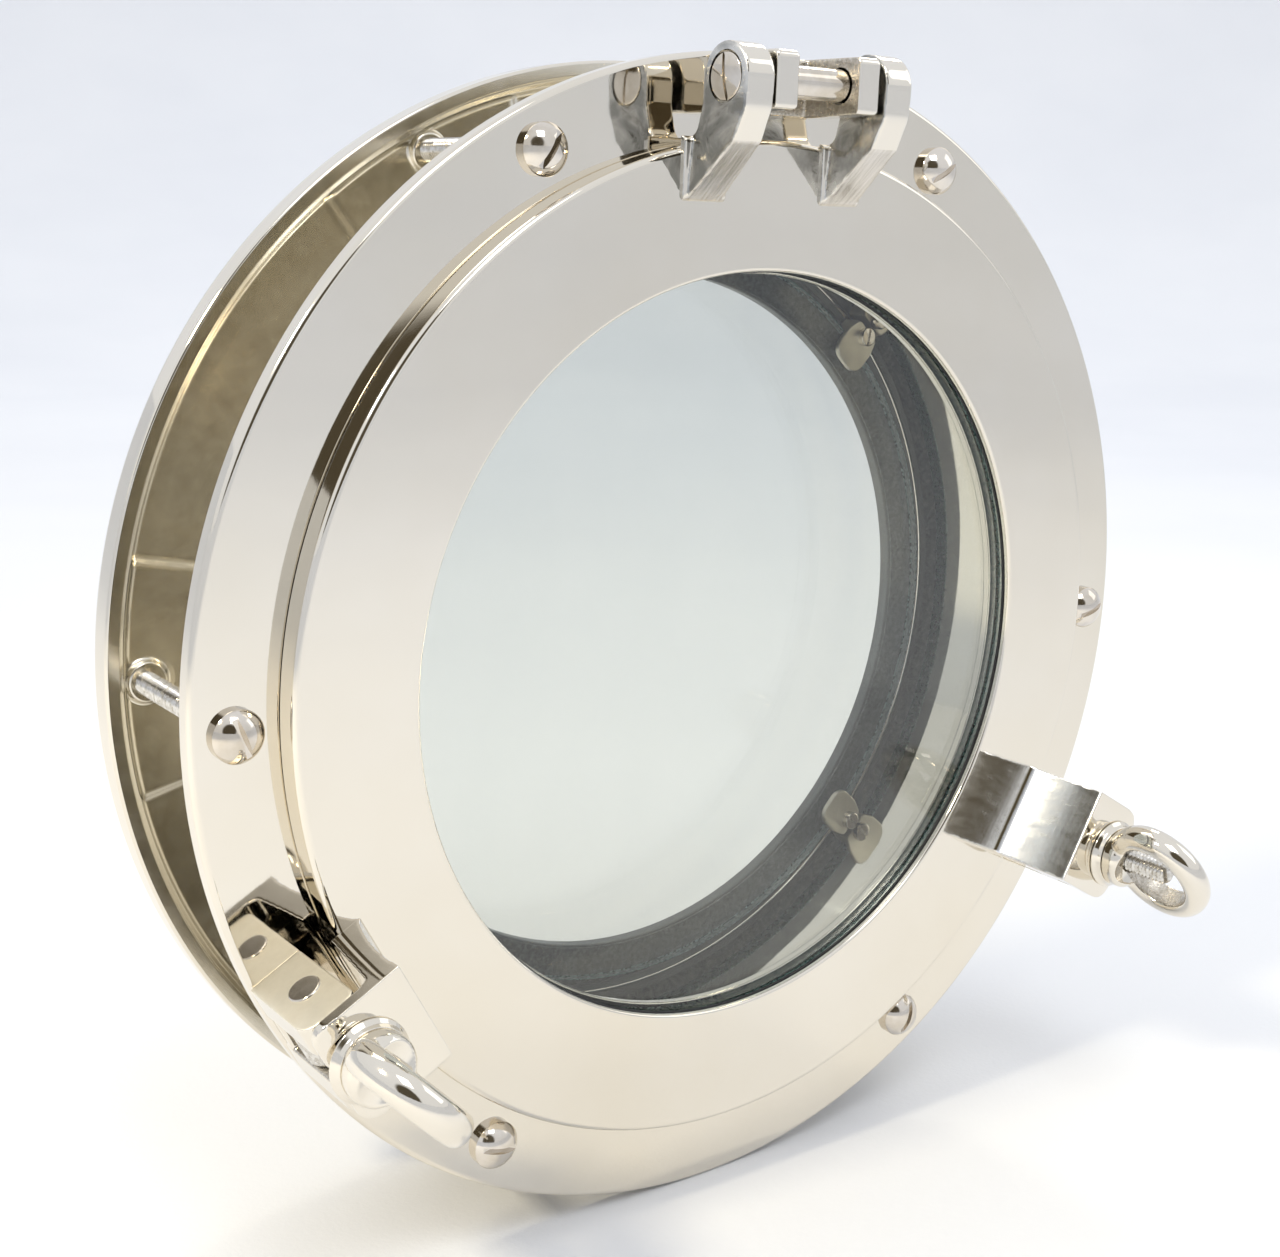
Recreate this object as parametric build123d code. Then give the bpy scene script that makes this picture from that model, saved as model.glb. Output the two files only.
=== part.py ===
"""Opening porthole, 12 in size: fixed frame, hinged glazed lid and two swing-bolt dogs.

Frame of reference: X to the right, Y rearward through the wall, Z up.  The origin is on the
porthole's axis in the plane where the flange seats against the wall, so the flange, the lid and
the dogs are at negative Y, and the spigot, the outer pane and the rear ring at positive Y.
All lengths are in millimetres.
"""
from build123d import *
from math import cos, radians, sin, sqrt
import os

# ---- driving dimensions -------------------------------------------------------------------
FLANGE_R = 152.4            # 12 in flange
FLANGE_T = 5.0
SPIGOT_IN_R = 112.0
SPIGOT_OUT_R = 116.0        # over the wall's thickness
SPIGOT_END_R = 115.8        # turned down where the rear ring goes on
SPIGOT_END_Y = 52.0
WALL_T = 44.5               # wall clamped between flange and rear ring
LEDGE_IN_R = 96.3           # clear opening at the rear
LEDGE_Y = 41.0
LEDGE_T = 4.0

SCREW_CIRCLE_R = 141.3
SCREW_ANGLES = (63.0, 117.0, 181.4, 239.5, 300.5, 358.6)
SLOT_ANGLES = (34.0, 60.0, 111.0, 172.0, 68.5, 23.6)    # the way each driver slot came to rest
SCREW_R = 3.0               # M6 flange screws
SCREW_HOLE_R = 3.2
SCREW_HEAD_R = 6.3
SCREW_HEAD_H = 5.2

REAR_RING_R = 152.0
REAR_RING_IN_R = 116.3
REAR_RING_BACK_Y = 54.0
REAR_PLATE_T = 4.5
REAR_RIM_W = 5.0
REAR_BOSS_R = 7.0
REAR_PAD_HALF_ANGLE = 12.0

LID_R = 131.0
LID_OPEN_R = 98.8
LID_FACE_Y = -12.5
LID_BACK_Y = -5.4
LID_LIP_T = 2.0
LID_COLLAR_R = 109.4
LID_COLLAR_BACK_Y = -2.0
GLASS_R = 101.5
GLASS_T = 7.4
GASKET_R = 103.2
GASKET_T = 0.8
RETAINER_IN_R = 98.0
RETAINER_T = 3.0
RETAINER_SCREW_R = 106.3
RETAINER_SCREWS = 8

SEAL_IN_R = 115.5
SEAL_OUT_R = 121.5
SEAL_DEPTH = 2.6
SEAL_CLEAR = 0.1

PIVOT_Y = -24.4             # hinge pin axis
PIVOT_Z = 144.2
PIN_R = 4.0
PIN_FIT = 0.08              # radial running clearance
PIN_SNUG = 0.02             # radial clearance where the pin does not turn
PIN_HEAD_R = 5.6
KNUCKLE_R = 8.2
ARM_IN_X = 18.0
ARM_T = 8.4
ARM_EDGE_R = 1.0
ARM_EDGE_CLEAR = 3.5        # the arms' edges are square where they run into the lid
LUG_IN_X = 9.7
LUG_T = 6.8
HINGE_FRONT_Y = -31.5
HINGE_BASE_Y = -12.0
HINGE_LOW_Z = 136.8
HINGE_HIGH_Z = 151.0

DOG_ANGLES = {"right": -29.6, "left": -150.2}
DOG_RING_TURN = {"right": -61.0, "left": -16.0}     # how far each ring nut is screwed round
DOG_R = 144.0               # bolt axis and dog pivot, from the porthole's axis
DOG_PIVOT_Y = -18.5
EAR_IN_R = 137.6
EAR_OUT_R = 152.0
EAR_FRONT_Y = -32.4
EAR_HALF_W = 13.0
EAR_GAP = 4.7
EAR_BASE_Y = -9.0
BOLT_R = 3.2                # 1/4 in swing bolt
BOLT_END_Y = -57.5
EYE_R = 7.8
EYE_HALF_W = 4.4

LIDLUG_HALF_W = 14.2
LIDLUG_BASE_R = 124.0
LIDLUG_TOP_R = 127.5
LIDLUG_TOP_Y = -37.0
LIDLUG_END_R = 152.0
LIDLUG_UNDER_Y = -33.6
LIDLUG_COLUMN_R = 134.0
LIDLUG_COVE = 2.6           # depth of the hollow in the inner wall
LIDLUG_CORNER_R = {"right": 8.0, "left": 4.0}       # each end is dressed by hand
SLOT_HALF_W = 4.0

WASHER_R = 10.0
WASHER_TOP_R = 8.9
WASHER_T = 2.6
WASHER_GAP = 0.15
WASHER_BORE_R = 3.5
NUT_R = 8.6
NUT_BORE_R = 3.24
NUT_BARREL_T = 4.3          # from the collar to the eye's hole
NUT_SHOULDER_T = 6.6        # from the collar to where the barrel runs out beside the eye
RING_HOLE_R = 10.5
RING_MID_R = 12.6
RING_BAR_R = 3.5            # half the bar's thickness, before the hole is bored
RING_BAR_HALF_W = 4.1

PANE_R = 105.6
PANE_T = 5.0
BEDDING_T = 0.6
CLIP_ANGLES = (46.0, 140.0, 230.0, 318.0)
CLIP_SCREW_R = 108.6
CLIP_TIP_R = 97.5           # how far in over the pane a clip reaches
CLIP_HALF_W = 6.2

BRACKET_SCREW_R = 2.5       # M5 countersunk, put in from behind
BRACKET_HEAD_R = 4.8
BRACKET_HEAD_T = 2.6

os.makedirs("parts", exist_ok=True)


# ---- helpers -------------------------------------------------------------------------------
def face_of(points):
    """Closed polygon face in the XY plane."""
    return make_face(Polyline(*points, close=True))


def ring_of(points):
    """Solid of revolution about the porthole's axis from a (radius, y) outline."""
    return revolve(face_of(points), Axis.Y)


def disc(radius, y_front, y_back, inner=0.0):
    """Flat disc or ring about the porthole's axis, between two Y planes."""
    return ring_of([(inner, y_front), (radius, y_front), (radius, y_back), (inner, y_back)])


def turned(shape, angle):
    """Turn a shape built on the +X radius to the given angle, seen from the front."""
    return Rot(0, -angle, 0) * shape


def bar_y(radius, y_front, y_back, x=0.0, z=0.0):
    """Round bar along Y between two Y planes."""
    length = y_back - y_front
    return Pos(x, y_front + length / 2, z) * Rot(90, 0, 0) * Cylinder(radius, length)


def bar_x(radius, x_low, x_high, y, z):
    """Round bar along X."""
    length = x_high - x_low
    return Pos(x_low + length / 2, y, z) * Rot(0, 90, 0) * Cylinder(radius, length)


def block(x0, x1, y0, y1, z0, z1):
    """Rectangular block between two corners."""
    size = Box(x1 - x0, y1 - y0, z1 - z0)
    return Pos((x0 + x1) / 2, (y0 + y1) / 2, (z0 + z1) / 2) * size


def cone_y(front_r, back_r, y_front, y_back, x=0.0, z=0.0):
    """Truncated cone along Y."""
    outline = face_of([(0, y_front), (front_r, y_front), (back_r, y_back), (0, y_back)])
    return Pos(x, 0, z) * revolve(outline, Axis.Y)


def save(shape, node):
    """Write one node's solids to its own STEP file."""
    solids = shape.solids()
    kept = solids[0] if len(solids) == 1 else Compound(children=list(solids))
    export_step(kept, f"parts/{node}.step")


def polar(radius, angle):
    """X and Z of a point at a radius and an angle, seen from the front."""
    return radius * cos(radians(angle)), radius * sin(radians(angle))


# ---- frame ---------------------------------------------------------------------------------
def main_frame():
    """Flange, spigot and rear ledge in one casting."""
    body = ring_of([
        (SPIGOT_IN_R, -FLANGE_T), (FLANGE_R - 1.2, -FLANGE_T), (FLANGE_R, -FLANGE_T + 1.2),
        (FLANGE_R, 0), (SPIGOT_OUT_R, 0), (SPIGOT_OUT_R, WALL_T), (SPIGOT_END_R, WALL_T),
        (SPIGOT_END_R, SPIGOT_END_Y - 1), (SPIGOT_END_R - 1, SPIGOT_END_Y),
        (SPIGOT_IN_R, SPIGOT_END_Y),
        (SPIGOT_IN_R, LEDGE_Y + LEDGE_T), (LEDGE_IN_R, LEDGE_Y + LEDGE_T),
        (LEDGE_IN_R, LEDGE_Y), (SPIGOT_IN_R, LEDGE_Y)])
    body -= disc(SEAL_OUT_R, -FLANGE_T - 1, -FLANGE_T + SEAL_DEPTH, SEAL_IN_R)
    for angle in SCREW_ANGLES:
        body -= turned(bar_y(SCREW_HOLE_R, -FLANGE_T - 1, 1, SCREW_CIRCLE_R), angle)
    for x, z in bracket_screw_places():
        body -= bar_y(BRACKET_SCREW_R + PIN_SNUG, -FLANGE_T - 1, 1, x, z)
        body -= cone_y(BRACKET_SCREW_R + PIN_SNUG, BRACKET_HEAD_R, -BRACKET_HEAD_T, 0, x, z)
    for angle in CLIP_ANGLES:
        body -= turned(bar_y(1.5 + PIN_SNUG, LEDGE_Y - 1, LEDGE_Y + LEDGE_T + 1, CLIP_SCREW_R), angle)
    return body


def rear_ring():
    """Dished outer ring with a hollow wall side, pads and tapped bosses."""
    back = REAR_RING_BACK_Y
    floor = back - REAR_PLATE_T
    step_r = REAR_RING_R - REAR_RIM_W - 4
    body = ring_of([
        (REAR_RING_IN_R, WALL_T + 2), (REAR_RING_IN_R + 4, WALL_T + 2),
        (REAR_RING_IN_R + 4, floor), (step_r, floor), (step_r, WALL_T + 3),
        (REAR_RING_R - REAR_RIM_W, WALL_T + 3), (REAR_RING_R - REAR_RIM_W, WALL_T),
        (REAR_RING_R, WALL_T), (REAR_RING_R, back - 3), (REAR_RING_R - 3, back),
        (REAR_RING_IN_R + 1, back), (REAR_RING_IN_R, back - 1)])
    pad_in = REAR_RING_IN_R + 4
    for angle in SCREW_ANGLES:
        half = REAR_PAD_HALF_ANGLE
        outline = [polar(pad_in - 1, -half), polar(step_r + 1, -half)]
        outline += [polar(step_r + 1, a) for a in (-half / 2, 0, half / 2)]
        outline += [polar(step_r + 1, half), polar(pad_in - 1, half)]
        pad = extrude(Plane.XZ * face_of(outline), amount=-2.5)
        body += turned(Pos(0, floor - 2.4, 0) * pad, angle)
        body += turned(bar_y(REAR_BOSS_R, WALL_T + 0.6, floor + 0.5, SCREW_CIRCLE_R - 4), angle)
        body -= turned(bar_y(SCREW_R + PIN_SNUG, WALL_T - 1, floor + 2, SCREW_CIRCLE_R), angle)
    return body


def flange_screws():
    """Six slotted dome-head screws through the flange and the wall into the rear ring."""
    solids = []
    for angle, slot_angle in zip(SCREW_ANGLES, SLOT_ANGLES):
        neck = -FLANGE_T - 1.6
        sphere_r = (SCREW_HEAD_R ** 2 + (SCREW_HEAD_H - 1.6) ** 2) / (2 * (SCREW_HEAD_H - 1.6))
        dome = Pos(0, -FLANGE_T - SCREW_HEAD_H + sphere_r, 0) * Sphere(sphere_r)
        head = bar_y(SCREW_HEAD_R, -FLANGE_T - SCREW_HEAD_H, -FLANGE_T) & dome
        head += bar_y(SCREW_HEAD_R, neck, -FLANGE_T)
        slot = block(-7, 7, -FLANGE_T - 6, -FLANGE_T - SCREW_HEAD_H + 2.0, -0.8, 0.8)
        screw = head + bar_y(SCREW_R, -FLANGE_T, REAR_RING_BACK_Y - REAR_PLATE_T + 1.5)
        screw -= turned(slot, slot_angle - angle)
        solids.append(turned(Pos(SCREW_CIRCLE_R, 0, 0) * screw, angle))
    return Compound(children=solids)


def lid_seal():
    """Flat-bottomed rubber seal ring lying in the flange's groove."""
    base = -FLANGE_T + SEAL_DEPTH
    crown = LID_BACK_Y + SEAL_CLEAR
    return ring_of([
        (SEAL_IN_R + 0.1, base), (SEAL_OUT_R - 0.1, base), (SEAL_OUT_R - 0.1, crown + 0.8),
        (SEAL_OUT_R - 1.2, crown), (SEAL_IN_R + 1.2, crown), (SEAL_IN_R + 0.1, crown + 0.8)])


def hinge_bracket():
    """Two lugs on a base plate, fixed to the flange above the lid."""
    half_w = LUG_IN_X + LUG_T
    body = block(-half_w, half_w, HINGE_BASE_Y, -FLANGE_T, HINGE_LOW_Z, HINGE_HIGH_Z)
    for side in (-1, 1):
        x0, x1 = sorted((side * LUG_IN_X, side * half_w))
        lug = block(x0, x1, HINGE_FRONT_Y, -FLANGE_T, HINGE_LOW_Z, HINGE_HIGH_Z)
        body += lug
    front = body.edges().filter_by(Axis.X).sort_by(Axis.Y)[:4]
    body = fillet(front, 1.2)
    body -= bar_x(PIN_R + PIN_FIT, -half_w - 1, half_w + 1, PIVOT_Y, PIVOT_Z)
    for x, z in bracket_screw_places()[:2]:
        body -= bar_y(BRACKET_SCREW_R + PIN_SNUG, HINGE_BASE_Y + 1.5, 0, x, z)
    return body


def dog_bracket(angle, places):
    """Pair of ears that carries a swing bolt, on a base that is fixed to the flange."""
    body = block(EAR_IN_R, EAR_OUT_R, EAR_BASE_Y, -FLANGE_T, -EAR_HALF_W, EAR_HALF_W)
    for side in (-1, 1):
        z0, z1 = sorted((side * EAR_GAP, side * EAR_HALF_W))
        body += block(EAR_IN_R, EAR_OUT_R, EAR_FRONT_Y, -FLANGE_T, z0, z1)
    tips = body.edges().filter_by(Axis.Z).sort_by(Axis.Y)[:4]
    body = fillet(tips, 2.5)
    body -= Pos(DOG_R, DOG_PIVOT_Y, 0) * Cylinder(PIN_R + PIN_SNUG, 2 * EAR_HALF_W + 2)
    body = turned(body, angle)
    for x, z in places:
        body -= bar_y(BRACKET_SCREW_R + PIN_SNUG, -FLANGE_T - 9, 0, x, z)
    return body


def dog_bracket_places(angle):
    """Two screw places behind the ears of one dog bracket."""
    places = []
    for offset in (-8.8, 8.8):
        point = Vector(DOG_R + 1, 0, offset).rotate(Axis.Y, -angle)
        places.append((point.X, point.Z))
    return places


def bracket_screw_places():
    """Places of all screws that hold the brackets, hinge first."""
    places = [(-13.0, 144.0), (13.0, 144.0)]
    for angle in DOG_ANGLES.values():
        places += dog_bracket_places(angle)
    return places


def bracket_screws():
    """Countersunk screws through the flange from behind."""
    solids = []
    for x, z in bracket_screw_places():
        screw = bar_y(BRACKET_SCREW_R, -FLANGE_T - 5, 0, x, z)
        head = cone_y(BRACKET_SCREW_R, BRACKET_HEAD_R - PIN_SNUG, -BRACKET_HEAD_T, 0, x, z)
        slot = block(x - 6, x + 6, -0.9, 1, z - 0.5, z + 0.5)
        solids.append(screw + head - slot)
    return Compound(children=solids)


def dog_pin(angle):
    """Pivot pin of one swing bolt, flush in the ears."""
    pin = Cylinder(PIN_R, 2 * EAR_HALF_W)
    pin = chamfer(pin.edges().filter_by(GeomType.CIRCLE), 0.4)
    return turned(Pos(DOG_R, DOG_PIVOT_Y, 0) * pin, angle)


def pane_front_y():
    """Front plane of the outer pane, which rests on its bedding."""
    return LEDGE_Y - BEDDING_T - PANE_T


def pane_clips():
    """Four small plates that hold the outer pane."""
    solids = []
    face = pane_front_y()
    for angle in CLIP_ANGLES:
        plate = block(CLIP_TIP_R, 111.2, face - 1.6, face, -CLIP_HALF_W, CLIP_HALF_W)
        plate += block(PANE_R + 0.3, 111.2, face - 1.6, LEDGE_Y, -5, 5)
        plate = fillet(plate.edges().filter_by(Axis.Y).sort_by(Axis.X)[:2], CLIP_HALF_W - 0.4)
        plate -= bar_y(1.5 + PIN_SNUG, face - 3, LEDGE_Y + 1, CLIP_SCREW_R)
        solids.append(turned(plate, angle))
    return Compound(children=solids)


def clip_screws():
    """Slotted cheese-head screws of the clips."""
    solids = []
    head_y = pane_front_y() - 1.6
    for angle in CLIP_ANGLES:
        screw = bar_y(2.7, head_y - 2, head_y) + bar_y(1.5, head_y, LEDGE_Y + LEDGE_T)
        screw -= block(-4, 4, head_y - 3, head_y - 1.1, -0.4, 0.4)
        solids.append(turned(Pos(CLIP_SCREW_R, 0, 0) * screw, angle))
    return Compound(children=solids)


# ---- lid -----------------------------------------------------------------------------------
def arm_outline():
    """Side view of one hinge arm, as a face in the YZ plane."""
    knuckle_front = (PIVOT_Y - KNUCKLE_R, PIVOT_Z)
    knuckle_top = (PIVOT_Y, PIVOT_Z + KNUCKLE_R)
    knuckle_back = (PIVOT_Y + KNUCKLE_R, PIVOT_Z)
    foot = (LID_FACE_Y, 116.0)
    bend = (-28.2, 129.6)
    root = (-9.0, 127.0)
    inside = (-9.0, 116.0)
    outline = [
        Line(inside, foot),
        ThreePointArc(foot, (-19.6, 121.6), bend),
        Line(bend, knuckle_front),
        ThreePointArc(knuckle_front, knuckle_top, knuckle_back),
        Line(knuckle_back, (PIVOT_Y + KNUCKLE_R, 138.5)),
        ThreePointArc((PIVOT_Y + KNUCKLE_R, 138.5), (-14.2, 131.4), root),
        Line(root, inside)]
    return Plane.YZ * make_face(outline)


def lid_ring():
    """Lid casting: flat ring, glazing collar and the two hinge arms."""
    lip_back = LID_FACE_Y + LID_LIP_T
    body = ring_of([
        (LID_OPEN_R, LID_FACE_Y + 0.8), (LID_OPEN_R + 0.8, LID_FACE_Y),
        (LID_R - 1.0, LID_FACE_Y), (LID_R, LID_FACE_Y + 1.0), (LID_R, LID_BACK_Y),
        (LID_COLLAR_R, LID_BACK_Y), (LID_COLLAR_R, LID_COLLAR_BACK_Y),
        (GASKET_R, LID_COLLAR_BACK_Y), (GASKET_R, lip_back), (LID_OPEN_R, lip_back)])
    head_seat = -(ARM_IN_X + ARM_T) + 2.2
    for side in (-1, 1):
        x_mid = side * (ARM_IN_X + ARM_T / 2)
        arm = extrude(arm_outline(), amount=ARM_T / 2, both=True)
        sides = arm.faces().sort_by(Axis.X)
        edges = sides[0].edges() + sides[-1].edges()
        arm = fillet([e for e in edges if e.center().Y < LID_FACE_Y - ARM_EDGE_CLEAR], ARM_EDGE_R)
        arm = Pos(x_mid, 0, 0) * arm
        arm -= bar_x(PIN_R + PIN_SNUG, x_mid - ARM_T, x_mid + ARM_T, PIVOT_Y, PIVOT_Z)
        if side < 0:
            arm -= bar_x(PIN_HEAD_R + 0.4, head_seat - 5, head_seat, PIVOT_Y, PIVOT_Z)
        body += arm
    for k in range(RETAINER_SCREWS):
        hole = bar_y(1.25 + PIN_SNUG, LID_COLLAR_BACK_Y - 4, 0, RETAINER_SCREW_R)
        body -= turned(hole, 22.5 + k * 360 / RETAINER_SCREWS)
    for angle in DOG_ANGLES.values():
        for x, z in lug_screw_places(angle):
            body -= bar_y(2 + PIN_SNUG, LID_FACE_Y - 1, LID_BACK_Y + 1, x, z)
            body -= cone_y(2 + PIN_SNUG, 4, LID_BACK_Y - 2.2, LID_BACK_Y, x, z)
    return body


def lid_glass():
    """Toughened glass disc of the lid."""
    front = LID_FACE_Y + LID_LIP_T + GASKET_T
    return disc(GLASS_R, front, front + GLASS_T)


def glass_gasket():
    """Rubber gasket round the glass: a front leg behind the lip and a rim."""
    front = LID_FACE_Y + LID_LIP_T
    glass_front = front + GASKET_T
    back = LID_COLLAR_BACK_Y
    return ring_of([
        (LID_OPEN_R, front), (GASKET_R, front), (GASKET_R, back),
        (GLASS_R, back), (GLASS_R, glass_front), (LID_OPEN_R, glass_front)])


def glass_retainer():
    """Flat ring that clamps the glass from behind."""
    back = LID_COLLAR_BACK_Y + RETAINER_T
    body = ring_of([
        (RETAINER_IN_R, LID_COLLAR_BACK_Y), (LID_COLLAR_R, LID_COLLAR_BACK_Y),
        (LID_COLLAR_R, back), (RETAINER_IN_R + 1, back), (RETAINER_IN_R, back - 1)])
    for k in range(RETAINER_SCREWS):
        angle = 22.5 + k * 360 / RETAINER_SCREWS
        body -= turned(bar_y(1.25 + PIN_SNUG, -3, 3, RETAINER_SCREW_R), angle)
        body -= turned(cone_y(1.25 + PIN_SNUG, 2.6, back - 1.5, back, RETAINER_SCREW_R), angle)
    return body


def retainer_screws():
    """Countersunk screws of the glass retainer."""
    solids = []
    back = LID_COLLAR_BACK_Y + RETAINER_T
    for k in range(RETAINER_SCREWS):
        screw = bar_y(1.25, LID_COLLAR_BACK_Y - 3.5, back)
        screw += cone_y(1.25, 2.6 - PIN_SNUG, back - 1.5, back)
        screw -= block(-3, 3, back - 0.6, back + 1, -0.3, 0.3)
        angle = 22.5 + k * 360 / RETAINER_SCREWS
        solids.append(turned(Pos(RETAINER_SCREW_R, 0, 0) * screw, angle))
    return Compound(children=solids)


def hinge_pin():
    """Slotted hinge pin through both arms and both lugs."""
    outer = ARM_IN_X + ARM_T
    pin = bar_x(PIN_R, -outer + 1, outer, PIVOT_Y, PIVOT_Z)
    head = bar_x(PIN_HEAD_R, -outer - 0.2, -outer + 2.2, PIVOT_Y, PIVOT_Z)
    slot = block(-outer - 1, -outer + 1.0, PIVOT_Y - 0.5, PIVOT_Y + 0.5, PIVOT_Z - 8, PIVOT_Z + 8)
    return pin + head - slot


def lug_screw_places(angle):
    """Two screw places under one lid lug."""
    places = []
    for offset in (-8.5, 8.5):
        point = Vector(126.2, 0, offset).rotate(Axis.Y, -angle)
        places.append((point.X, point.Z))
    return places


def lid_lug(angle, corner_r):
    """Slotted lug on the lid's rim: hollowed inner wall, flat seat, rounded outer end."""
    seat_r = DOG_PIVOT_Y - LIDLUG_TOP_Y
    drop = LIDLUG_END_R - DOG_R
    end_y = DOG_PIVOT_Y - sqrt(seat_r ** 2 - drop ** 2)
    half_drop = drop / 2
    mid_y = DOG_PIVOT_Y - sqrt(seat_r ** 2 - half_drop ** 2)
    wall_mid = (LIDLUG_BASE_R + LIDLUG_TOP_R) / 2 + LIDLUG_COVE
    wall_mid_y = (LID_FACE_Y + LIDLUG_TOP_Y) / 2
    base_a = (LIDLUG_BASE_R, LID_FACE_Y)
    top_a = (LIDLUG_TOP_R, LIDLUG_TOP_Y)
    outline = [
        ThreePointArc(base_a, (wall_mid, wall_mid_y), top_a),
        Line(top_a, (DOG_R, LIDLUG_TOP_Y)),
        ThreePointArc((DOG_R, LIDLUG_TOP_Y), (DOG_R + half_drop, mid_y), (LIDLUG_END_R, end_y)),
        Line((LIDLUG_END_R, end_y), (LIDLUG_END_R, LIDLUG_UNDER_Y)),
        Line((LIDLUG_END_R, LIDLUG_UNDER_Y), (EAR_IN_R - 1, LIDLUG_UNDER_Y)),
        ThreePointArc((EAR_IN_R - 1, LIDLUG_UNDER_Y), (LIDLUG_COLUMN_R + 0.8, -32.0),
                      (LIDLUG_COLUMN_R, -29.5)),
        Line((LIDLUG_COLUMN_R, -29.5), (LIDLUG_COLUMN_R - 2, LID_FACE_Y)),
        Line((LIDLUG_COLUMN_R - 2, LID_FACE_Y), base_a)]
    body = extrude(make_face(outline), amount=LIDLUG_HALF_W, both=True)
    corners = body.edges().filter_by(Axis.Y).sort_by(Axis.X)[-2:]
    body = fillet(corners, corner_r)
    slot = block(DOG_R, 170, -45, -30, -SLOT_HALF_W, SLOT_HALF_W)
    slot += bar_y(SLOT_HALF_W, -45, -30, DOG_R)
    body = turned(body - slot, angle)
    for x, z in lug_screw_places(angle):
        body -= bar_y(2 + PIN_SNUG, LID_FACE_Y - 9, LID_FACE_Y, x, z)
    return body


def lug_screws():
    """Countersunk screws that hold the lid lugs, from behind the lid."""
    solids = []
    for angle in DOG_ANGLES.values():
        for x, z in lug_screw_places(angle):
            screw = bar_y(2, LID_FACE_Y - 8, LID_BACK_Y, x, z)
            screw += cone_y(2, 4 - PIN_SNUG, LID_BACK_Y - 2.2, LID_BACK_Y, x, z)
            screw -= block(x - 5, x + 5, LID_BACK_Y - 0.8, LID_BACK_Y + 1, z - 0.4, z + 0.4)
            solids.append(screw)
    return Compound(children=solids)


# ---- dogs ----------------------------------------------------------------------------------
def dog_bolt(angle):
    """Swing bolt: eye on the pivot pin and a straight threaded shank."""
    body = Pos(DOG_R, DOG_PIVOT_Y, 0) * Cylinder(EYE_R, 2 * EYE_HALF_W)
    body += bar_y(BOLT_R, BOLT_END_Y, DOG_PIVOT_Y, DOG_R)
    body -= Pos(DOG_R, DOG_PIVOT_Y, 0) * Cylinder(PIN_R + PIN_FIT, 4 * EYE_HALF_W)
    tip = body.edges().filter_by(GeomType.CIRCLE).sort_by(Axis.Y)[0]
    return turned(chamfer(tip, 0.8), angle)


def washer_seat_y():
    """Plane of the collar's underside, just clear of the lug."""
    return LIDLUG_TOP_Y - WASHER_GAP


def dog_washer(angle):
    """Captive collar between the lug and the ring nut."""
    seat = washer_seat_y()
    outline = [
        (WASHER_BORE_R, seat), (WASHER_R, seat), (WASHER_R, seat - 0.8),
        (WASHER_TOP_R, seat - WASHER_T), (WASHER_BORE_R, seat - WASHER_T)]
    return turned(Pos(DOG_R, 0, 0) * ring_of(outline), angle)


def ring_nut(angle, turn):
    """Ring nut: short tapped barrel and a round eye, bored straight, that the hand turns."""
    seat = washer_seat_y() - WASHER_T
    eye_y = seat - NUT_BARREL_T - RING_HOLE_R
    barrel = bar_y(NUT_R, seat - NUT_SHOULDER_T, seat)
    barrel = chamfer(barrel.edges().filter_by(GeomType.CIRCLE).sort_by(Axis.Y)[0], 2.2)
    section = Pos(RING_MID_R, 0) * Ellipse(RING_BAR_R, RING_BAR_HALF_W)
    eye = Pos(0, eye_y, 0) * Rot(0, 0, 90) * revolve(section, Axis.Y)
    hole = bar_x(RING_HOLE_R, -2 * NUT_R, 2 * NUT_R, eye_y, 0)
    body = barrel + (eye - disc(2 * NUT_R, seat, seat + NUT_R)) - hole
    body -= bar_y(NUT_BORE_R, eye_y, seat + 1)
    return turned(Pos(DOG_R, 0, 0) * Rot(0, turn, 0) * body, angle)


# ---- write every node ----------------------------------------------------------------------
if __name__ == "__main__":
    save(main_frame(), "main_frame")
    save(rear_ring(), "rear_ring")
    save(flange_screws(), "flange_screws")
    save(lid_seal(), "lid_seal")
    save(hinge_bracket(), "hinge_bracket")
    save(bracket_screws(), "bracket_screws")
    save(disc(PANE_R, pane_front_y(), pane_front_y() + PANE_T), "rear_pane")
    save(disc(PANE_R, LEDGE_Y - BEDDING_T, LEDGE_Y, LEDGE_IN_R + 0.5), "pane_bedding")
    save(pane_clips(), "pane_clips")
    save(clip_screws(), "clip_screws")
    save(lid_ring(), "lid_ring")
    save(lid_glass(), "lid_glass")
    save(glass_gasket(), "glass_gasket")
    save(glass_retainer(), "glass_retainer")
    save(retainer_screws(), "retainer_screws")
    save(hinge_pin(), "hinge_pin")
    save(lug_screws(), "lug_screws")
    for side, dog_angle in DOG_ANGLES.items():
        save(dog_bracket(dog_angle, dog_bracket_places(dog_angle)), f"dog_bracket_{side}")
        save(dog_pin(dog_angle), f"dog_pin_{side}")
        save(lid_lug(dog_angle, LIDLUG_CORNER_R[side]), f"lid_lug_{side}")
        save(dog_bolt(dog_angle), f"dog_bolt_{side}")
        save(dog_washer(dog_angle), f"dog_washer_{side}")
        save(ring_nut(dog_angle, DOG_RING_TURN[side]), f"ring_nut_{side}")
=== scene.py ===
"""Opening porthole in polished nickel: the looks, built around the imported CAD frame.

Lengths in the tables of sizes are millimetres, in the CAD part's own frame: X right, Y rearward,
Z up, origin on the porthole's axis where the flange meets the wall.  Meshes are built in
millimetres and written in metres.
"""
from math import atan2, cos, degrees, hypot, pi, radians, sin, sqrt, tan

import bmesh
import bpy
from mathutils import Matrix, Quaternion, Vector, noise

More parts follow.
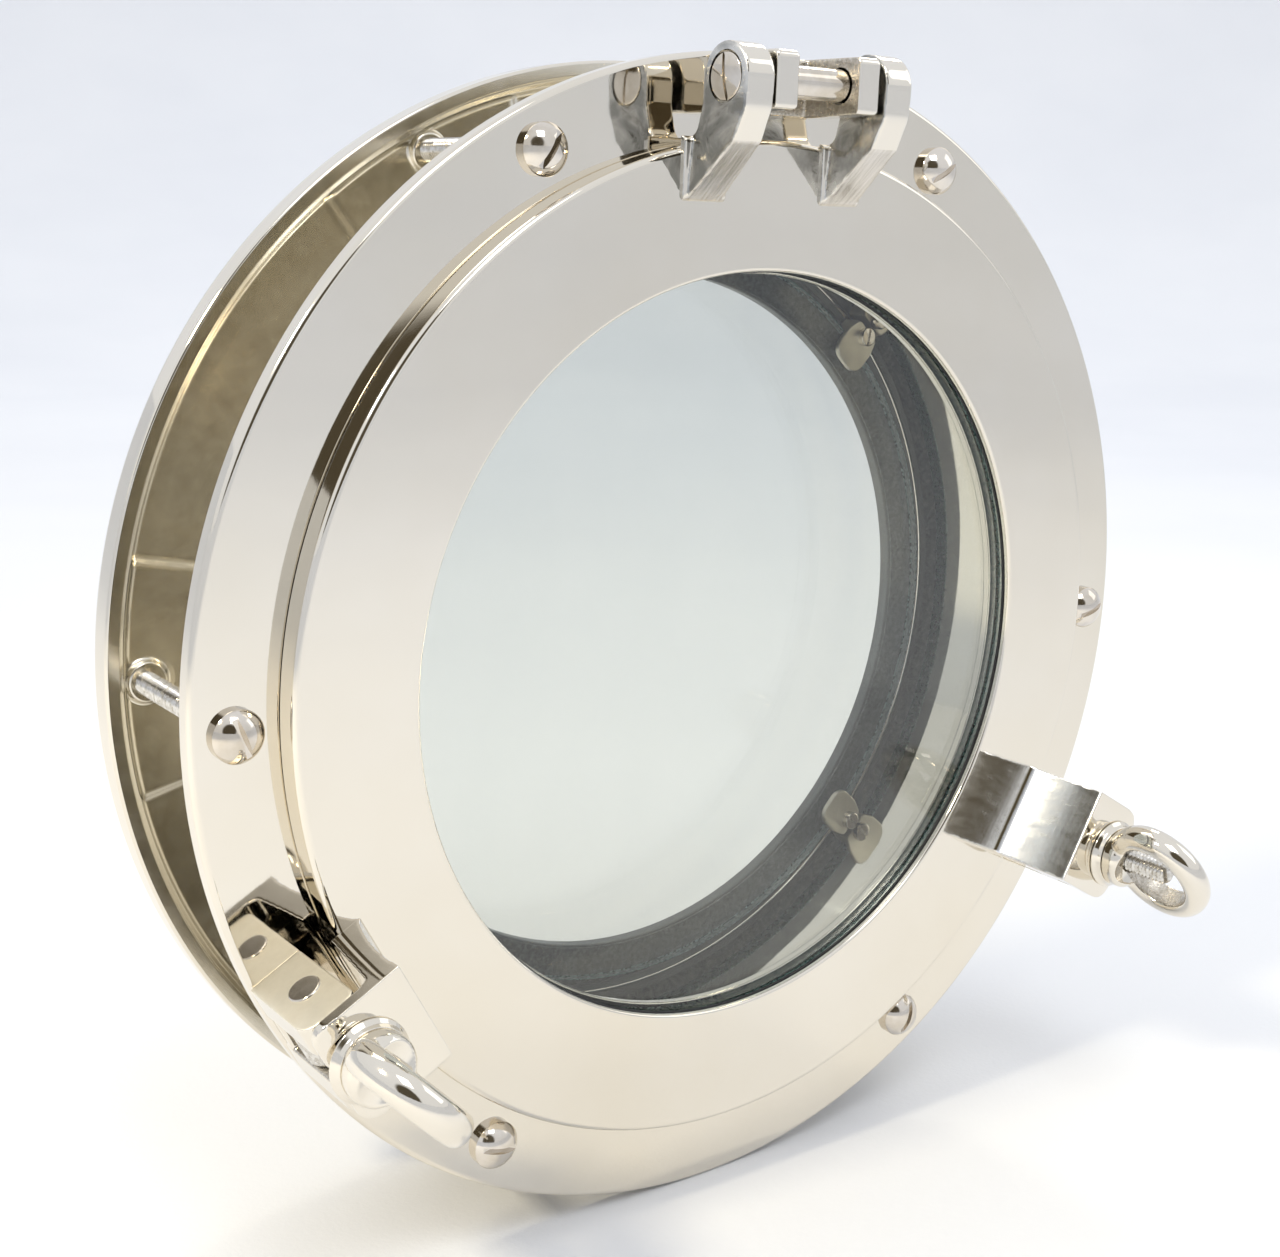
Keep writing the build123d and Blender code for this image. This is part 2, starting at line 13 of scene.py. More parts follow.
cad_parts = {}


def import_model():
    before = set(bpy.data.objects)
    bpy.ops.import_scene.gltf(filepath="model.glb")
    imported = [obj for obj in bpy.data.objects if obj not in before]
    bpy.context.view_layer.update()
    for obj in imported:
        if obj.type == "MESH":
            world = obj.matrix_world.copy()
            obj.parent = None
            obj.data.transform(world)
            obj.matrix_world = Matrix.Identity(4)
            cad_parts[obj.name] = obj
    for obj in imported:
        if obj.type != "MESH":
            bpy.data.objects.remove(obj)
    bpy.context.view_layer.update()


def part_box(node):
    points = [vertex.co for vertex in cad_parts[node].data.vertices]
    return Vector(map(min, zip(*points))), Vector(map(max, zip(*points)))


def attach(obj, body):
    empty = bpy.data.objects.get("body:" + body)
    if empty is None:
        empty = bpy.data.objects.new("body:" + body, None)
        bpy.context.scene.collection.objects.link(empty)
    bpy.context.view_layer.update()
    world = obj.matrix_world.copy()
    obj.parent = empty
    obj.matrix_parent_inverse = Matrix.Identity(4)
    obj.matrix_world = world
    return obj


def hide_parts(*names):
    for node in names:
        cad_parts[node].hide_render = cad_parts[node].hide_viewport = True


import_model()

MM = 0.001

# ---- sizes of the object, in millimetres ---------------------------------------------------
FLANGE_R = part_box("main_frame")[1].x / MM
FLANGE_T = -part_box("main_frame")[0].y / MM
SPIGOT_OUT_R = 116.0
SPIGOT_IN_R = 112.0
SPIGOT_END_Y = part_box("main_frame")[1].y / MM
WALL_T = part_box("rear_ring")[0].y / MM
LEDGE_IN_R = 96.3
LEDGE_Y = 41.0
LEDGE_BACK_Y = 45.0
SEAL_IN_R = 115.5
SEAL_OUT_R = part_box("lid_seal")[1].x / MM + 0.1
SEAL_BASE_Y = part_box("lid_seal")[1].y / MM
SEAL_CROWN_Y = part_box("lid_seal")[0].y / MM

SCREW_CIRCLE_R = 141.3
SCREW_ANGLES = (63.0, 117.0, 181.4, 239.5, 300.5, 358.6)
SLOT_ANGLES = (34.0, 60.0, 111.0, 172.0, 68.5, 23.6)
SCREW_R = 3.0
SCREW_PITCH = 1.0
SCREW_HEAD_R = 6.3
SCREW_HEAD_H = 5.2

REAR_RING_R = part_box("rear_ring")[1].x / MM
REAR_RING_IN_R = 116.3
REAR_BACK_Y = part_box("rear_ring")[1].y / MM
REAR_PLATE_T = 4.5
REAR_RIM_W = 5.0
PAD_HALF_ANGLE = 12.6       # low pads round the rear ring's screws
PAD_EDGE_ANGLE = 1.4
PAD_H = 1.5

LID_R = 131.0
LID_OPEN_R = 98.8
LID_FACE_Y = -12.5
LID_BACK_Y = -5.4
LID_COLLAR_R = 109.4
LID_COLLAR_BACK_Y = -2.0
LID_LIP_T = 2.0
GASKET_R = 103.2
GLASS_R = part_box("lid_glass")[1].x / MM
GLASS_FRONT_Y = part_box("lid_glass")[0].y / MM
GLASS_BACK_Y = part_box("lid_glass")[1].y / MM
RETAINER_IN_R = 98.0
RETAINER_BACK_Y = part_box("glass_retainer")[1].y / MM
RETAINER_SCREW_R = 106.3
RETAINER_SCREWS = 8

PIVOT_Y = -24.4
PIVOT_Z = 144.2
PIN_R = 4.0
PIN_HEAD_R = 5.6
KNUCKLE_R = 8.2
ARM_IN_X = 18.0
ARM_T = 8.4
LUG_IN_X = 9.7
LUG_T = 6.8
HINGE_FRONT_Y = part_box("hinge_bracket")[0].y / MM
HINGE_BASE_Y = -12.0
HINGE_SCREW_X = 13.0
HINGE_SCREW_Z = 144.0
HINGE_LOW_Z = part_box("hinge_bracket")[0].z / MM
HINGE_HIGH_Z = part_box("hinge_bracket")[1].z / MM

DOG_ANGLES = {"right": -29.6, "left": -150.2}
RING_TURNS = {"right": -61.0, "left": -16.0}
DOG_R = 144.0
DOG_PIVOT_Y = -18.5
EAR_IN_R = 137.6
EAR_OUT_R = 152.0
EAR_FRONT_Y = -32.4
EAR_HALF_W = 13.0
EAR_GAP = 4.7
EAR_BASE_Y = -9.0
DOG_SCREW_OFFSET = 8.8
BOLT_R = 3.2
BOLT_PITCH = 1.27
BOLT_END_Y = -57.5
EYE_R = 7.8
EYE_HALF_W = 4.4
LUG_HALF_W = 14.2
LUG_BASE_R = 124.0
LUG_TOP_R = 127.5
LUG_TOP_Y = -37.0
LUG_UNDER_Y = -33.6
LUG_COLUMN_R = 134.0
LUG_COVE = 1.5
LUG_CORNERS = {"right": 8.0, "left": 4.0}
SLOT_HALF_W = 4.0
LUG_SCREW_R = 126.2
LUG_SCREW_OFFSET = 8.5
SEAT_Y = -37.15
WASHER_R = 10.0
WASHER_T = 2.6
NUT_R = 8.6
NUT_BORE_R = 3.3
NUT_BARREL_T = 4.3
RING_HOLE_R = 10.5
RING_MID_R = 12.5
RING_BAR_R = 3.5
RING_BAR_HALF_W = 4.1

PANE_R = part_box("rear_pane")[1].x / MM
PANE_FRONT_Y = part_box("rear_pane")[0].y / MM
PANE_BACK_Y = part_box("rear_pane")[1].y / MM
CLIP_ANGLES = (46.0, 140.0, 230.0, 318.0)
CLIP_SCREW_R = 108.6
MESS_ANGLE = -14.0          # where most sealant was squeezed out
MESS_SPREAD = 26.0
MESS_MIN = 0.18

# ---- smoothness of the meshes --------------------------------------------------------------
AROUND = 288                # steps round the porthole's axis
CORNER_STEPS = 5
SHARP_ANGLE = radians(38)
CASTING_VOXEL = 0.36        # finest detail that survives on the soft castings
LUG_VOXEL = 0.33
NUT_VOXEL = 0.26


# ---- mesh helpers --------------------------------------------------------------------------
def in_scene(name, data):
    """New object, linked to the scene."""
    obj = bpy.data.objects.new(name, data)
    bpy.context.scene.collection.objects.link(obj)
    return obj


def rounded(points, steps=CORNER_STEPS):
    """Closed outline of (u, v, corner radius) points with each corner turned into an arc."""
    result = []
    count = len(points)
    for i, (u, v, corner) in enumerate(points):
        here = Vector((u, v))
        to_last = Vector(points[i - 1][:2]) - here
        to_next = Vector(points[(i + 1) % count][:2]) - here
        turn = to_last.angle(to_next)
        if corner <= 0 or turn > pi - 0.02:
            result.append((u, v))
            continue
        reach = min(corner / tan(turn / 2), 0.48 * to_last.length, 0.48 * to_next.length)
        radius = reach * tan(turn / 2)
        middle = (to_last.normalized() + to_next.normalized()).normalized()
        centre = here + middle * (radius / sin(turn / 2))
        start = here + to_last.normalized() * reach - centre
        end = here + to_next.normalized() * reach - centre
        sweep = start.angle_signed(end)
        for k in range(steps + 1):
            spoke = start.copy()
            spoke.rotate(Matrix.Rotation(-sweep * k / steps, 2))
            result.append(tuple(centre + spoke))
    return result


def arc(u, v, radius, first, last, steps=16):
    """Points of an arc about (u, v), by angle in degrees, as sharp outline points."""
    angles = [radians(first + (last - first) * k / steps) for k in range(steps + 1)]
    return [(u + radius * cos(a), v + radius * sin(a), 0.0) for a in angles]


def lathe(points, around=AROUND, corner_steps=CORNER_STEPS):
    """Surface of revolution about the Y axis from a closed (radius, y, corner radius) outline."""
    outline = rounded(points, corner_steps)
    mesh = bmesh.new()
    rings = []
    for k in range(around):
        a = 2 * pi * k / around
        rings.append([mesh.verts.new((r * cos(a), y, r * sin(a))) for r, y in outline])
    count = len(outline)
    for k in range(around):
        here, following = rings[k], rings[(k + 1) % around]
        for i in range(count):
            j = (i + 1) % count
            if outline[i][0] < 1e-6 and outline[j][0] < 1e-6:
                continue
            mesh.faces.new((here[i], here[j], following[j], following[i]))
    bmesh.ops.remove_doubles(mesh, verts=mesh.verts, dist=1e-5)
    bmesh.ops.dissolve_degenerate(mesh, edges=mesh.edges, dist=1e-6)
    bmesh.ops.recalc_face_normals(mesh, faces=mesh.faces)
    return mesh


def plate(outline, thickness, edge):
    """Flat plate in the XY plane, centred on it, with rounded edges."""
    curve = bpy.data.curves.new("outline", "CURVE")
    curve.dimensions = "2D"
    curve.fill_mode = "BOTH"
    curve.extrude = thickness / 2 - edge
    curve.bevel_depth = edge
    curve.bevel_resolution = 3
    curve.offset = -edge
    spline = curve.splines.new("POLY")
    spline.points.add(len(outline) - 1)
    for point, (u, v) in zip(spline.points, outline):
        point.co = (u, v, 0, 1)
    spline.use_cyclic_u = True
    holder = in_scene("outline", curve)
    bpy.context.view_layer.update()
    made = bpy.data.meshes.new_from_object(holder)
    mesh = bmesh.new()
    mesh.from_mesh(made)
    bmesh.ops.remove_doubles(mesh, verts=mesh.verts, dist=1e-4)
    bmesh.ops.recalc_face_normals(mesh, faces=mesh.faces)
    bpy.data.objects.remove(holder)
    bpy.data.curves.remove(curve)
    bpy.data.meshes.remove(made)
    return mesh


def drill(radius, y_front, y_back, around=64):
    """Cutting tool along Y for a round hole."""
    return lathe([(0, y_front, 0), (radius, y_front, 0), (radius, y_back, 0), (0, y_back, 0)], around)


def counterclockwise(outline):
    """The outline's (u, v) points in counterclockwise order."""
    twice_area = sum(a[0] * b[1] - b[0] * a[1] for a, b in zip(outline, outline[1:] + outline[:1]))
    return outline if twice_area > 0 else outline[::-1]


def thread(crest_r, depth, pitch, y_front, y_back, around=36, per_turn=7):
    """Threaded rod along Y with a helical ridge."""
    rows = int((y_back - y_front) / pitch * per_turn)
    mesh = bmesh.new()
    rings = []
    for i in range(rows + 1):
        y = y_front + (y_back - y_front) * i / rows
        from_end = min(i, rows - i) / per_turn
        ring = []
        for k in range(around):
            phase = (y / pitch - k / around) % 1.0
            flank = min(1.0, max(0.0, (abs(2 * phase - 1) - 0.12) / 0.76))
            flank = max(flank, 1.0 - min(1.0, from_end / 0.8))
            a = 2 * pi * k / around
            r = crest_r - depth * flank
            ring.append(mesh.verts.new((r * cos(a), y, r * sin(a))))
        rings.append(ring)
    for lower, upper in zip(rings, rings[1:]):
        for k in range(around):
            j = (k + 1) % around
            mesh.faces.new((lower[k], lower[j], upper[j], upper[k]))
    mesh.faces.new(rings[0][::-1])
    mesh.faces.new(rings[-1])
    bmesh.ops.recalc_face_normals(mesh, faces=mesh.faces)
    return mesh


def block(x0, x1, y0, y1, z0, z1, edge=0.0):
    """Block between two corners with rounded edges."""
    mesh = bmesh.new()
    bmesh.ops.create_cube(mesh, size=1.0)
    size = Vector((x1 - x0, y1 - y0, z1 - z0))
    middle = Vector((x0 + x1, y0 + y1, z0 + z1)) / 2
    for vert in mesh.verts:
        vert.co = Vector(a * b for a, b in zip(vert.co, size)) + middle
    if edge > 0:
        bmesh.ops.bevel(mesh, geom=mesh.edges[:], offset=edge, segments=3, profile=0.5,
                        affect="EDGES", clamp_overlap=True)
    return mesh


def moved(mesh, matrix):
    """The same bmesh after a transform."""
    bmesh.ops.transform(mesh, matrix=matrix, verts=mesh.verts)
    return mesh


def joined(meshes):
    """Several bmeshes as one."""
    whole = bmesh.new()
    for part in meshes:
        data = bpy.data.meshes.new("part")
        part.to_mesh(data)
        part.free()
        whole.from_mesh(data)
        bpy.data.meshes.remove(data)
    return whole


def prism(outline, thickness):
    """Straight-sided prism on a counterclockwise outline, centred on the XY plane."""
    mesh = bmesh.new()
    low = [mesh.verts.new((u, v, -thickness / 2)) for u, v, *_ in outline]
    high = [mesh.verts.new((u, v, thickness / 2)) for u, v, *_ in outline]
    mesh.faces.new(low[::-1])
    mesh.faces.new(high)
    for i in range(len(outline)):
        j = (i + 1) % len(outline)
        mesh.faces.new((low[i], low[j], high[j], high[i]))
    return mesh


def held(mesh, name):
    """Object in the scene that holds a bmesh, which is freed."""
    data = bpy.data.meshes.new(name)
    mesh.to_mesh(data)
    mesh.free()
    return in_scene(name, data)


def baked(holder, *tools):
    """Bmesh of an object after its modifiers; the object and its tools are deleted."""
    bpy.context.view_layer.update()
    shown = holder.evaluated_get(bpy.context.evaluated_depsgraph_get())
    made = bpy.data.meshes.new_from_object(shown)
    result = bmesh.new()
    result.from_mesh(made)
    bpy.data.meshes.remove(made)
    for one in (holder, *tools):
        data = one.data
        bpy.data.objects.remove(one)
        bpy.data.meshes.remove(data)
    return result


def boolean(mesh, tool, operation="DIFFERENCE"):
    """One bmesh cut by, or joined with, another."""
    target = held(mesh, "target")
    cutter = held(tool, "tool")
    modifier = target.modifiers.new("boolean", "BOOLEAN")
    modifier.object = cutter
    modifier.operation = operation
    modifier.solver = "EXACT"
    return baked(target, cutter)


def remeshed(mesh, voxel, smooth_rounds):
    """One soft-edged skin round a bmesh's islands, as a casting has."""
    holder = held(mesh, "rough")
    skin = holder.modifiers.new("skin", "REMESH")
    skin.mode = "VOXEL"
    skin.voxel_size = voxel
    ease = holder.modifiers.new("ease", "SMOOTH")
    ease.factor = 0.5
    ease.iterations = smooth_rounds
    return baked(holder)


def painted(mesh, choose):
    """The same bmesh; choose(middle, normal) gives each face's place in the piece's materials."""
    for face in mesh.faces:
        face.material_index = choose(face.calc_center_median(), face.normal)
    return mesh


def off_axis(point):
    """Distance from the porthole's axis."""
    return hypot(point.x, point.z)


def piece(name, mesh, material, body, nodes=(), sharp=SHARP_ANGLE, weighted=True):
    """Object in metres from a bmesh in millimetres, which rides on a body."""
    obj = held(moved(mesh, Matrix.Scale(MM, 4)), name)
    obj.data.shade_smooth()
    obj.data.set_sharp_from_angle(angle=sharp)
    for one in material if isinstance(material, list) else [material]:
        obj.data.materials.append(one)
    if weighted:
        modifier = obj.modifiers.new("flat faces stay flat", "WEIGHTED_NORMAL")
        modifier.keep_sharp = True
        modifier.weight = 90
    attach(obj, body)
    if nodes:
        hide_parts(*nodes)
    return obj


def round_y(angle):
    """Turn about the porthole's axis, by an angle seen from the front."""
    return Matrix.Rotation(-radians(angle), 4, "Y")


def shift(x=0.0, y=0.0, z=0.0):
    """Translation matrix."""
    return Matrix.Translation((x, y, z))


# Plates and prisms are drawn in XY, which is (radius, y) as it stands: these matrices turn them.
SIDE_VIEW = Matrix(((0, 0, 1, 0), (1, 0, 0, 0), (0, 1, 0, 0), (0, 0, 0, 1)))    # (y, z) outlines
FRONT_VIEW = Matrix(((1, 0, 0, 0), (0, 0, -1, 0), (0, 1, 0, 0), (0, 0, 0, 1)))  # (x, z) outlines


# ---- materials -----------------------------------------------------------------------------
class Nodes:
    """Small helper that adds nodes to one material and links them."""

    def __init__(self, name):
        self.material = bpy.data.materials.new(name)
        self.material.use_nodes = True
        self.tree = self.material.node_tree
        self.shader = self.tree.nodes["Principled BSDF"]
        self.place = self.add("ShaderNodeTexCoord").outputs["Object"]

    def add(self, kind, **values):
        node = self.tree.nodes.new(kind)
        for key, value in values.items():
            setattr(node, key, value)
        return node

    def link(self, source, target):
        self.tree.links.new(source, target)

    def stretched(self, scale):
        """Object coordinates, scaled along each axis."""
        node = self.add("ShaderNodeMapping")
        node.inputs["Scale"].default_value = scale
        self.link(self.place, node.inputs["Vector"])
        return node.outputs["Vector"]

    def noise(self, scale, detail=3.0, rough=0.55, vector=None, distortion=0.0):
        node = self.add("ShaderNodeTexNoise")
        node.inputs["Scale"].default_value = scale
        node.inputs["Detail"].default_value = detail
        node.inputs["Roughness"].default_value = rough
        node.inputs["Distortion"].default_value = distortion
        self.link(vector or self.place, node.inputs["Vector"])
        return node.outputs["Fac"]

    def spread(self, source, low_in, high_in, low_out, high_out):
        """Source mapped from one span to another, clamped."""
        node = self.add("ShaderNodeMapRange")
        for key, value in (("From Min", low_in), ("From Max", high_in),
                           ("To Min", low_out), ("To Max", high_out)):
            node.inputs[key].default_value = value
        self.link(source, node.inputs["Value"])
        return node.outputs["Result"]

    def blend(self, source, low_in, high_in, first, second):
        """Colour that goes from the first to the second as the source crosses a span."""
        node = self.add("ShaderNodeMix", data_type="RGBA")
        node.inputs["A"].default_value = (*first, 1)
        node.inputs["B"].default_value = (*second, 1)
        self.link(self.spread(source, low_in, high_in, 0.0, 1.0), node.inputs["Factor"])
        return node.outputs["Result"]

    def bump(self, source, distance, under=None):
        """Bump from a height source, over another bump."""
        node = self.add("ShaderNodeBump")
        node.inputs["Distance"].default_value = distance
        self.link(source, node.inputs["Height"])
        if under is not None:
            self.link(under, node.inputs["Normal"])
        return node.outputs["Normal"]

    def use(self, colour=None, rough=None, normal=None, **constants):
        """Connect the results, and set the shader's constants on its own sockets."""
        if colour is not None:
            self.link(colour, self.shader.inputs["Base Color"])
        if rough is not None:
            self.link(rough, self.shader.inputs["Roughness"])
        if normal is not None:
            self.link(normal, self.shader.inputs["Normal"])
        for key, value in constants.items():
            self.shader.inputs[key.replace("_", " ")].default_value = value
        return self.material


NICKEL = (0.80, 0.755, 0.67)
NICKEL_WARM = (0.76, 0.705, 0.60)


def polished_nickel():
    """Mirror nickel plate on a hand-polished casting: faint waves, polishing lines and smudges."""
    n = Nodes("polished nickel")
    cloud = n.noise(9.0, 4.0)
    smudge = n.noise(38.0, 5.0, 0.62, distortion=0.6)
    lines = n.noise(420.0, 2.0, 0.5, n.stretched((1.0, 1.0, 0.06)))
    fine = n.noise(2600.0, 2.0, 0.5, n.stretched((1.0, 1.0, 0.12)))
    colour = n.blend(cloud, 0.38, 0.68, NICKEL, NICKEL_WARM)
    base = n.spread(smudge, 0.45, 0.75, 0.028, 0.085)
    sum_node = n.add("ShaderNodeMath", operation="MULTIPLY_ADD")
    n.link(lines, sum_node.inputs[0])
    sum_node.inputs[1].default_value = 0.03
    n.link(base, sum_node.inputs[2])
    wave = n.bump(n.noise(24.0, 1.5, 0.4), 0.00022)
    hammer = n.bump(n.noise(150.0, 2.0, 0.4), 0.000012, under=wave)
    hair = n.bump(fine, 0.0000012, under=hammer)
    return n.use(colour, sum_node.outputs[0], hair, Metallic=1.0)


def turned_nickel():
    """Nickel-plated turned parts: fine rings left by the tool."""
    n = Nodes("turned nickel")
    mottle = n.noise(120.0, 4.0)
    colour = n.blend(mottle, 0.4, 0.7, (0.74, 0.69, 0.62), (0.60, 0.54, 0.45))
    rough = n.spread(n.noise(260.0, 4.0, 0.6), 0.35, 0.75, 0.05, 0.18)
    rings = n.bump(n.noise(900.0, 3.0, 0.6), 0.000006)
    return n.use(colour, rough, rings, Metallic=1.0)


def cast_nickel():
    """Plated surfaces that were left as cast: sandy grain under the plate."""
    n = Nodes("cast nickel")
    sand = n.noise(1500.0, 4.0, 0.65)
    lumps = n.noise(260.0, 3.0, 0.5)
    colour = n.blend(sand, 0.3, 0.7, (0.42, 0.38, 0.31), (0.74, 0.70, 0.63))
    rough = n.spread(lumps, 0.3, 0.7, 0.16, 0.34)
    low = n.bump(lumps, 0.00035)
    grain = n.bump(sand, 0.00010, under=low)
    return n.use(colour, rough, grain, Metallic=1.0)


def brushed_nickel():
    """Faces dressed with a coarse belt and then lightly polished: parallel scratches."""
    n = Nodes("brushed nickel")
    cut = n.noise(1300.0, 3.0, 0.7, n.stretched((1.0, 0.05, 0.05)))
    colour = n.blend(cut, 0.35, 0.65, (0.58, 0.54, 0.47), (0.76, 0.72, 0.66))
    rough = n.spread(cut, 0.3, 0.7, 0.08, 0.24)
    return n.use(colour, rough, n.bump(cut, 0.00004), Metallic=1.0)


def filed_nickel_painted_dark_reflection():
    """Sides of the hinge arms: filed by hand and plated, cloudy, with a base colour darker than the mirror
    faces that is painted dark reflection.
    """
    n = Nodes("filed nickel, painted dark reflection")
    cloud = n.noise(85.0, 4.0, 0.55, distortion=0.8)
    file_marks = n.noise(1500.0, 2.0, 0.6, n.stretched((0.1, 1.0, 0.3)))
    # Dark to mid grey base colour: painted dark reflection of the dim surroundings, over the cloudy filing.
    colour = n.blend(cloud, 0.38, 0.62, (0.30, 0.30, 0.285), (0.72, 0.71, 0.68))
    rough = n.spread(cloud, 0.3, 0.7, 0.16, 0.30)
    lumps = n.bump(cloud, 0.0004)
    return n.use(colour, rough, n.bump(file_marks, 0.000010, under=lumps), Metallic=1.0)


def streaked_nickel_painted_reflection():
    """Hollow wall of a lug: drawn over a buffing wheel and streaked; its bright bluish-white colour is
    painted reflection of the bright surroundings.
    """
    n = Nodes("streaked nickel, painted bright reflection")
    streak = n.noise(520.0, 3.0, 0.6, n.stretched((0.25, 0.25, 1.0)))
    # Bluish white, brighter than any nickel: painted reflection of the bright surroundings.
    colour = n.blend(streak, 0.35, 0.7, (0.93, 0.95, 0.98), (0.80, 0.82, 0.84))
    rough = n.spread(streak, 0.3, 0.7, 0.16, 0.28)
    return n.use(colour, rough, n.bump(streak, 0.000008), Metallic=1.0)


def blasted_nickel():
    """Small faces that the buffing wheel can't reach: bead-blasted and plated, a soft shine."""
    n = Nodes("blasted nickel")
    grain = n.noise(1900.0, 3.0, 0.6)
    cloud = n.noise(110.0, 4.0)
    colour = n.blend(cloud, 0.35, 0.7, (0.88, 0.83, 0.70), (0.74, 0.69, 0.57))
    rough = n.spread(cloud, 0.3, 0.7, 0.40, 0.52)
    return n.use(colour, rough, n.bump(grain, 0.00002), Metallic=1.0)


def satin_nickel():
    """Inner sides that were buffed but not mirror-polished: soft blurred reflections."""
    n = Nodes("satin nickel")
    cloud = n.noise(16.0, 4.0)
    drag = n.noise(700.0, 3.0, 0.6, n.stretched((0.3, 1.0, 0.3)))
    colour = n.blend(cloud, 0.35, 0.7, (0.79, 0.75, 0.65), (0.69, 0.645, 0.545))
    rough = n.spread(drag, 0.3, 0.7, 0.17, 0.25)
    return n.use(colour, rough, n.bump(drag, 0.000004), Metallic=1.0)


def stained_ledge():
    """The ledge behind the pane: dull metal, darkened by bedding compound."""
    n = Nodes("stained ledge")
    stain = n.noise(45.0, 5.0, 0.6)
    colour = n.blend(stain, 0.35, 0.7, (0.17, 0.18, 0.175), (0.11, 0.118, 0.115))
    rough = n.spread(stain, 0.3, 0.7, 0.34, 0.46)
    return n.use(colour, rough, n.bump(n.noise(1400.0, 3.0), 0.000012), Metallic=0.35)


def thread_steel():
    """Rolled threads in bright steel with a little dirt in the roots."""
    n = Nodes("thread steel")
    dirt = n.noise(700.0, 3.0)
    colour = n.blend(dirt, 0.4, 0.7, (0.72, 0.70, 0.66), (0.42, 0.39, 0.33))
    rough = n.spread(dirt, 0.3, 0.7, 0.14, 0.32)
    return n.use(colour, rough, n.bump(n.noise(2400.0), 0.00001), Metallic=1.0)


def green_glass_painted_shade():
    """Toughened glass with wiping marks, its tint partly a faint green body colour and partly painted shade
    that darkens what is seen through it.
    """
    n = Nodes("green glass, painted shade")
    wipe = n.noise(14.0, 4.0, 0.6, n.stretched((1.0, 1.0, 0.35)), 0.8)
    rough = n.spread(wipe, 0.5, 0.8, 0.0, 0.012)
    # Tint darker than the glass's own green: part body colour, part painted shade on what shows through.
    colour = n.blend(wipe, 0.3, 0.8, (0.835, 0.848, 0.820), (0.800, 0.820, 0.795))
    return n.use(colour, rough, Transmission_Weight=1.0, IOR=1.5)


def edge_glass():
    """Ground glass edge: darker sea green, slightly frosted."""
    n = Nodes("glass edge")
    frost = n.noise(900.0, 3.0)
    colour = n.blend(frost, 0.35, 0.7, (0.20, 0.42, 0.40), (0.34, 0.58, 0.54))
    return n.use(colour, n.spread(frost, 0.3, 0.7, 0.18, 0.4), Transmission_Weight=0.7, IOR=1.5)


def black_rubber():
    """Black rubber with bloom and moulding grain."""
    n = Nodes("black rubber")
    bloom = n.noise(160.0, 5.0, 0.65)
    colour = n.blend(bloom, 0.4, 0.75, (0.008, 0.009, 0.010), (0.035, 0.036, 0.037))
    rough = n.spread(bloom, 0.3, 0.7, 0.38, 0.62)
    return n.use(colour, rough, n.bump(n.noise(1800.0, 3.0), 0.00004))


def grey_sealant():
    """Bedding sealant squeezed out round the pane: uneven, dusty grey."""
    n = Nodes("grey sealant")
    crumbs = n.noise(900.0, 5.0, 0.7)
    patches = n.noise(60.0, 4.0)
    colour = n.blend(crumbs, 0.42, 0.66, (0.13, 0.14, 0.14), (0.30, 0.32, 0.315))
    low = n.bump(patches, 0.0006)
    return n.use(colour, n.spread(patches, 0.3, 0.7, 0.4, 0.7), n.bump(crumbs, 0.00025, under=low))


def pale_floor():
    """Matt white floor with a faint weave."""
    n = Nodes("pale floor")
    weave = n.noise(700.0, 2.0)
    soft = n.noise(2.2, 3.0)
    colour = n.blend(soft, 0.35, 0.7, (0.85, 0.862, 0.885), (0.81, 0.825, 0.855))
    return n.use(colour, normal=n.bump(weave, 0.0001), Roughness=0.8)


NICKEL_MAT = polished_nickel()
TURNED_MAT = turned_nickel()
CAST_MAT = cast_nickel()
BRUSHED_MAT = brushed_nickel()
SATIN_MAT = satin_nickel()
BLASTED_MAT = blasted_nickel()
FILED_DARK_REFLECTION_MAT = filed_nickel_painted_dark_reflection()
PAINTED_REFLECTION_MAT = streaked_nickel_painted_reflection()
LEDGE_MAT = stained_ledge()
THREAD_MAT = thread_steel()
GLASS_TINT_AND_SHADE_MAT = green_glass_painted_shade()
EDGE_MAT = edge_glass()
RUBBER_MAT = black_rubber()
SEALANT_MAT = grey_sealant()


# ---- small parts ---------------------------------------------------------------------------
def slotted_head(radius, height, slot_w, slot_depth, cheek=1.6, rim=0.35):
    """Domed screw head on Y = 0, pointing to -Y, with a driver slot along X."""
    dome = height - cheek
    sphere_r = (radius ** 2 + dome ** 2) / (2 * dome)
    centre_y = -height + sphere_r
    steps = 12
    half = atan2(radius, sphere_r - dome)
    outline = [(0.0, 0.0, 0.0), (radius, 0.0, 0.0), (radius, -cheek + 0.02, rim)]
    for k in range(1, steps + 1):
        a = half * (1 - k / steps)
        outline.append((sphere_r * sin(a), centre_y - sphere_r * cos(a), 0.0))
    head = lathe(outline, around=72, corner_steps=3)
    tool = block(-radius - 2, radius + 2, -height - 3, -height + slot_depth, -slot_w / 2, slot_w / 2)
    return boolean(head, tool)


def flat_head(radius, height, slot_w, slot_depth):
    """Cheese head on Y = 0, pointing to -Y, slotted along X."""
    head = lathe([(0, 0, 0), (radius, 0, 0), (radius, -height, 0.4), (0, -height, 0)], around=48)
    tool = block(-radius - 1, radius + 1, -height - 2, -height + slot_depth, -slot_w / 2, slot_w / 2)
    return boolean(head, tool)


def sunk_head(radius, core_r, height, slot_w, slot_depth):
    """Countersunk head with its flat face on Y = 0, facing +Y."""
    head = lathe([(0, 0, 0), (radius, 0, 0.1), (core_r, -height, 0), (0, -height, 0)], around=48)
    tool = block(-radius - 1, radius + 1, -slot_depth, 2, -slot_w / 2, slot_w / 2)
    return boolean(head, tool)


def at_screw(angle, radius, turn, y=0.0):
    """Place of a screw on a circle, turned about its own axis."""
    return round_y(angle) @ shift(x=radius, y=y) @ round_y(turn)


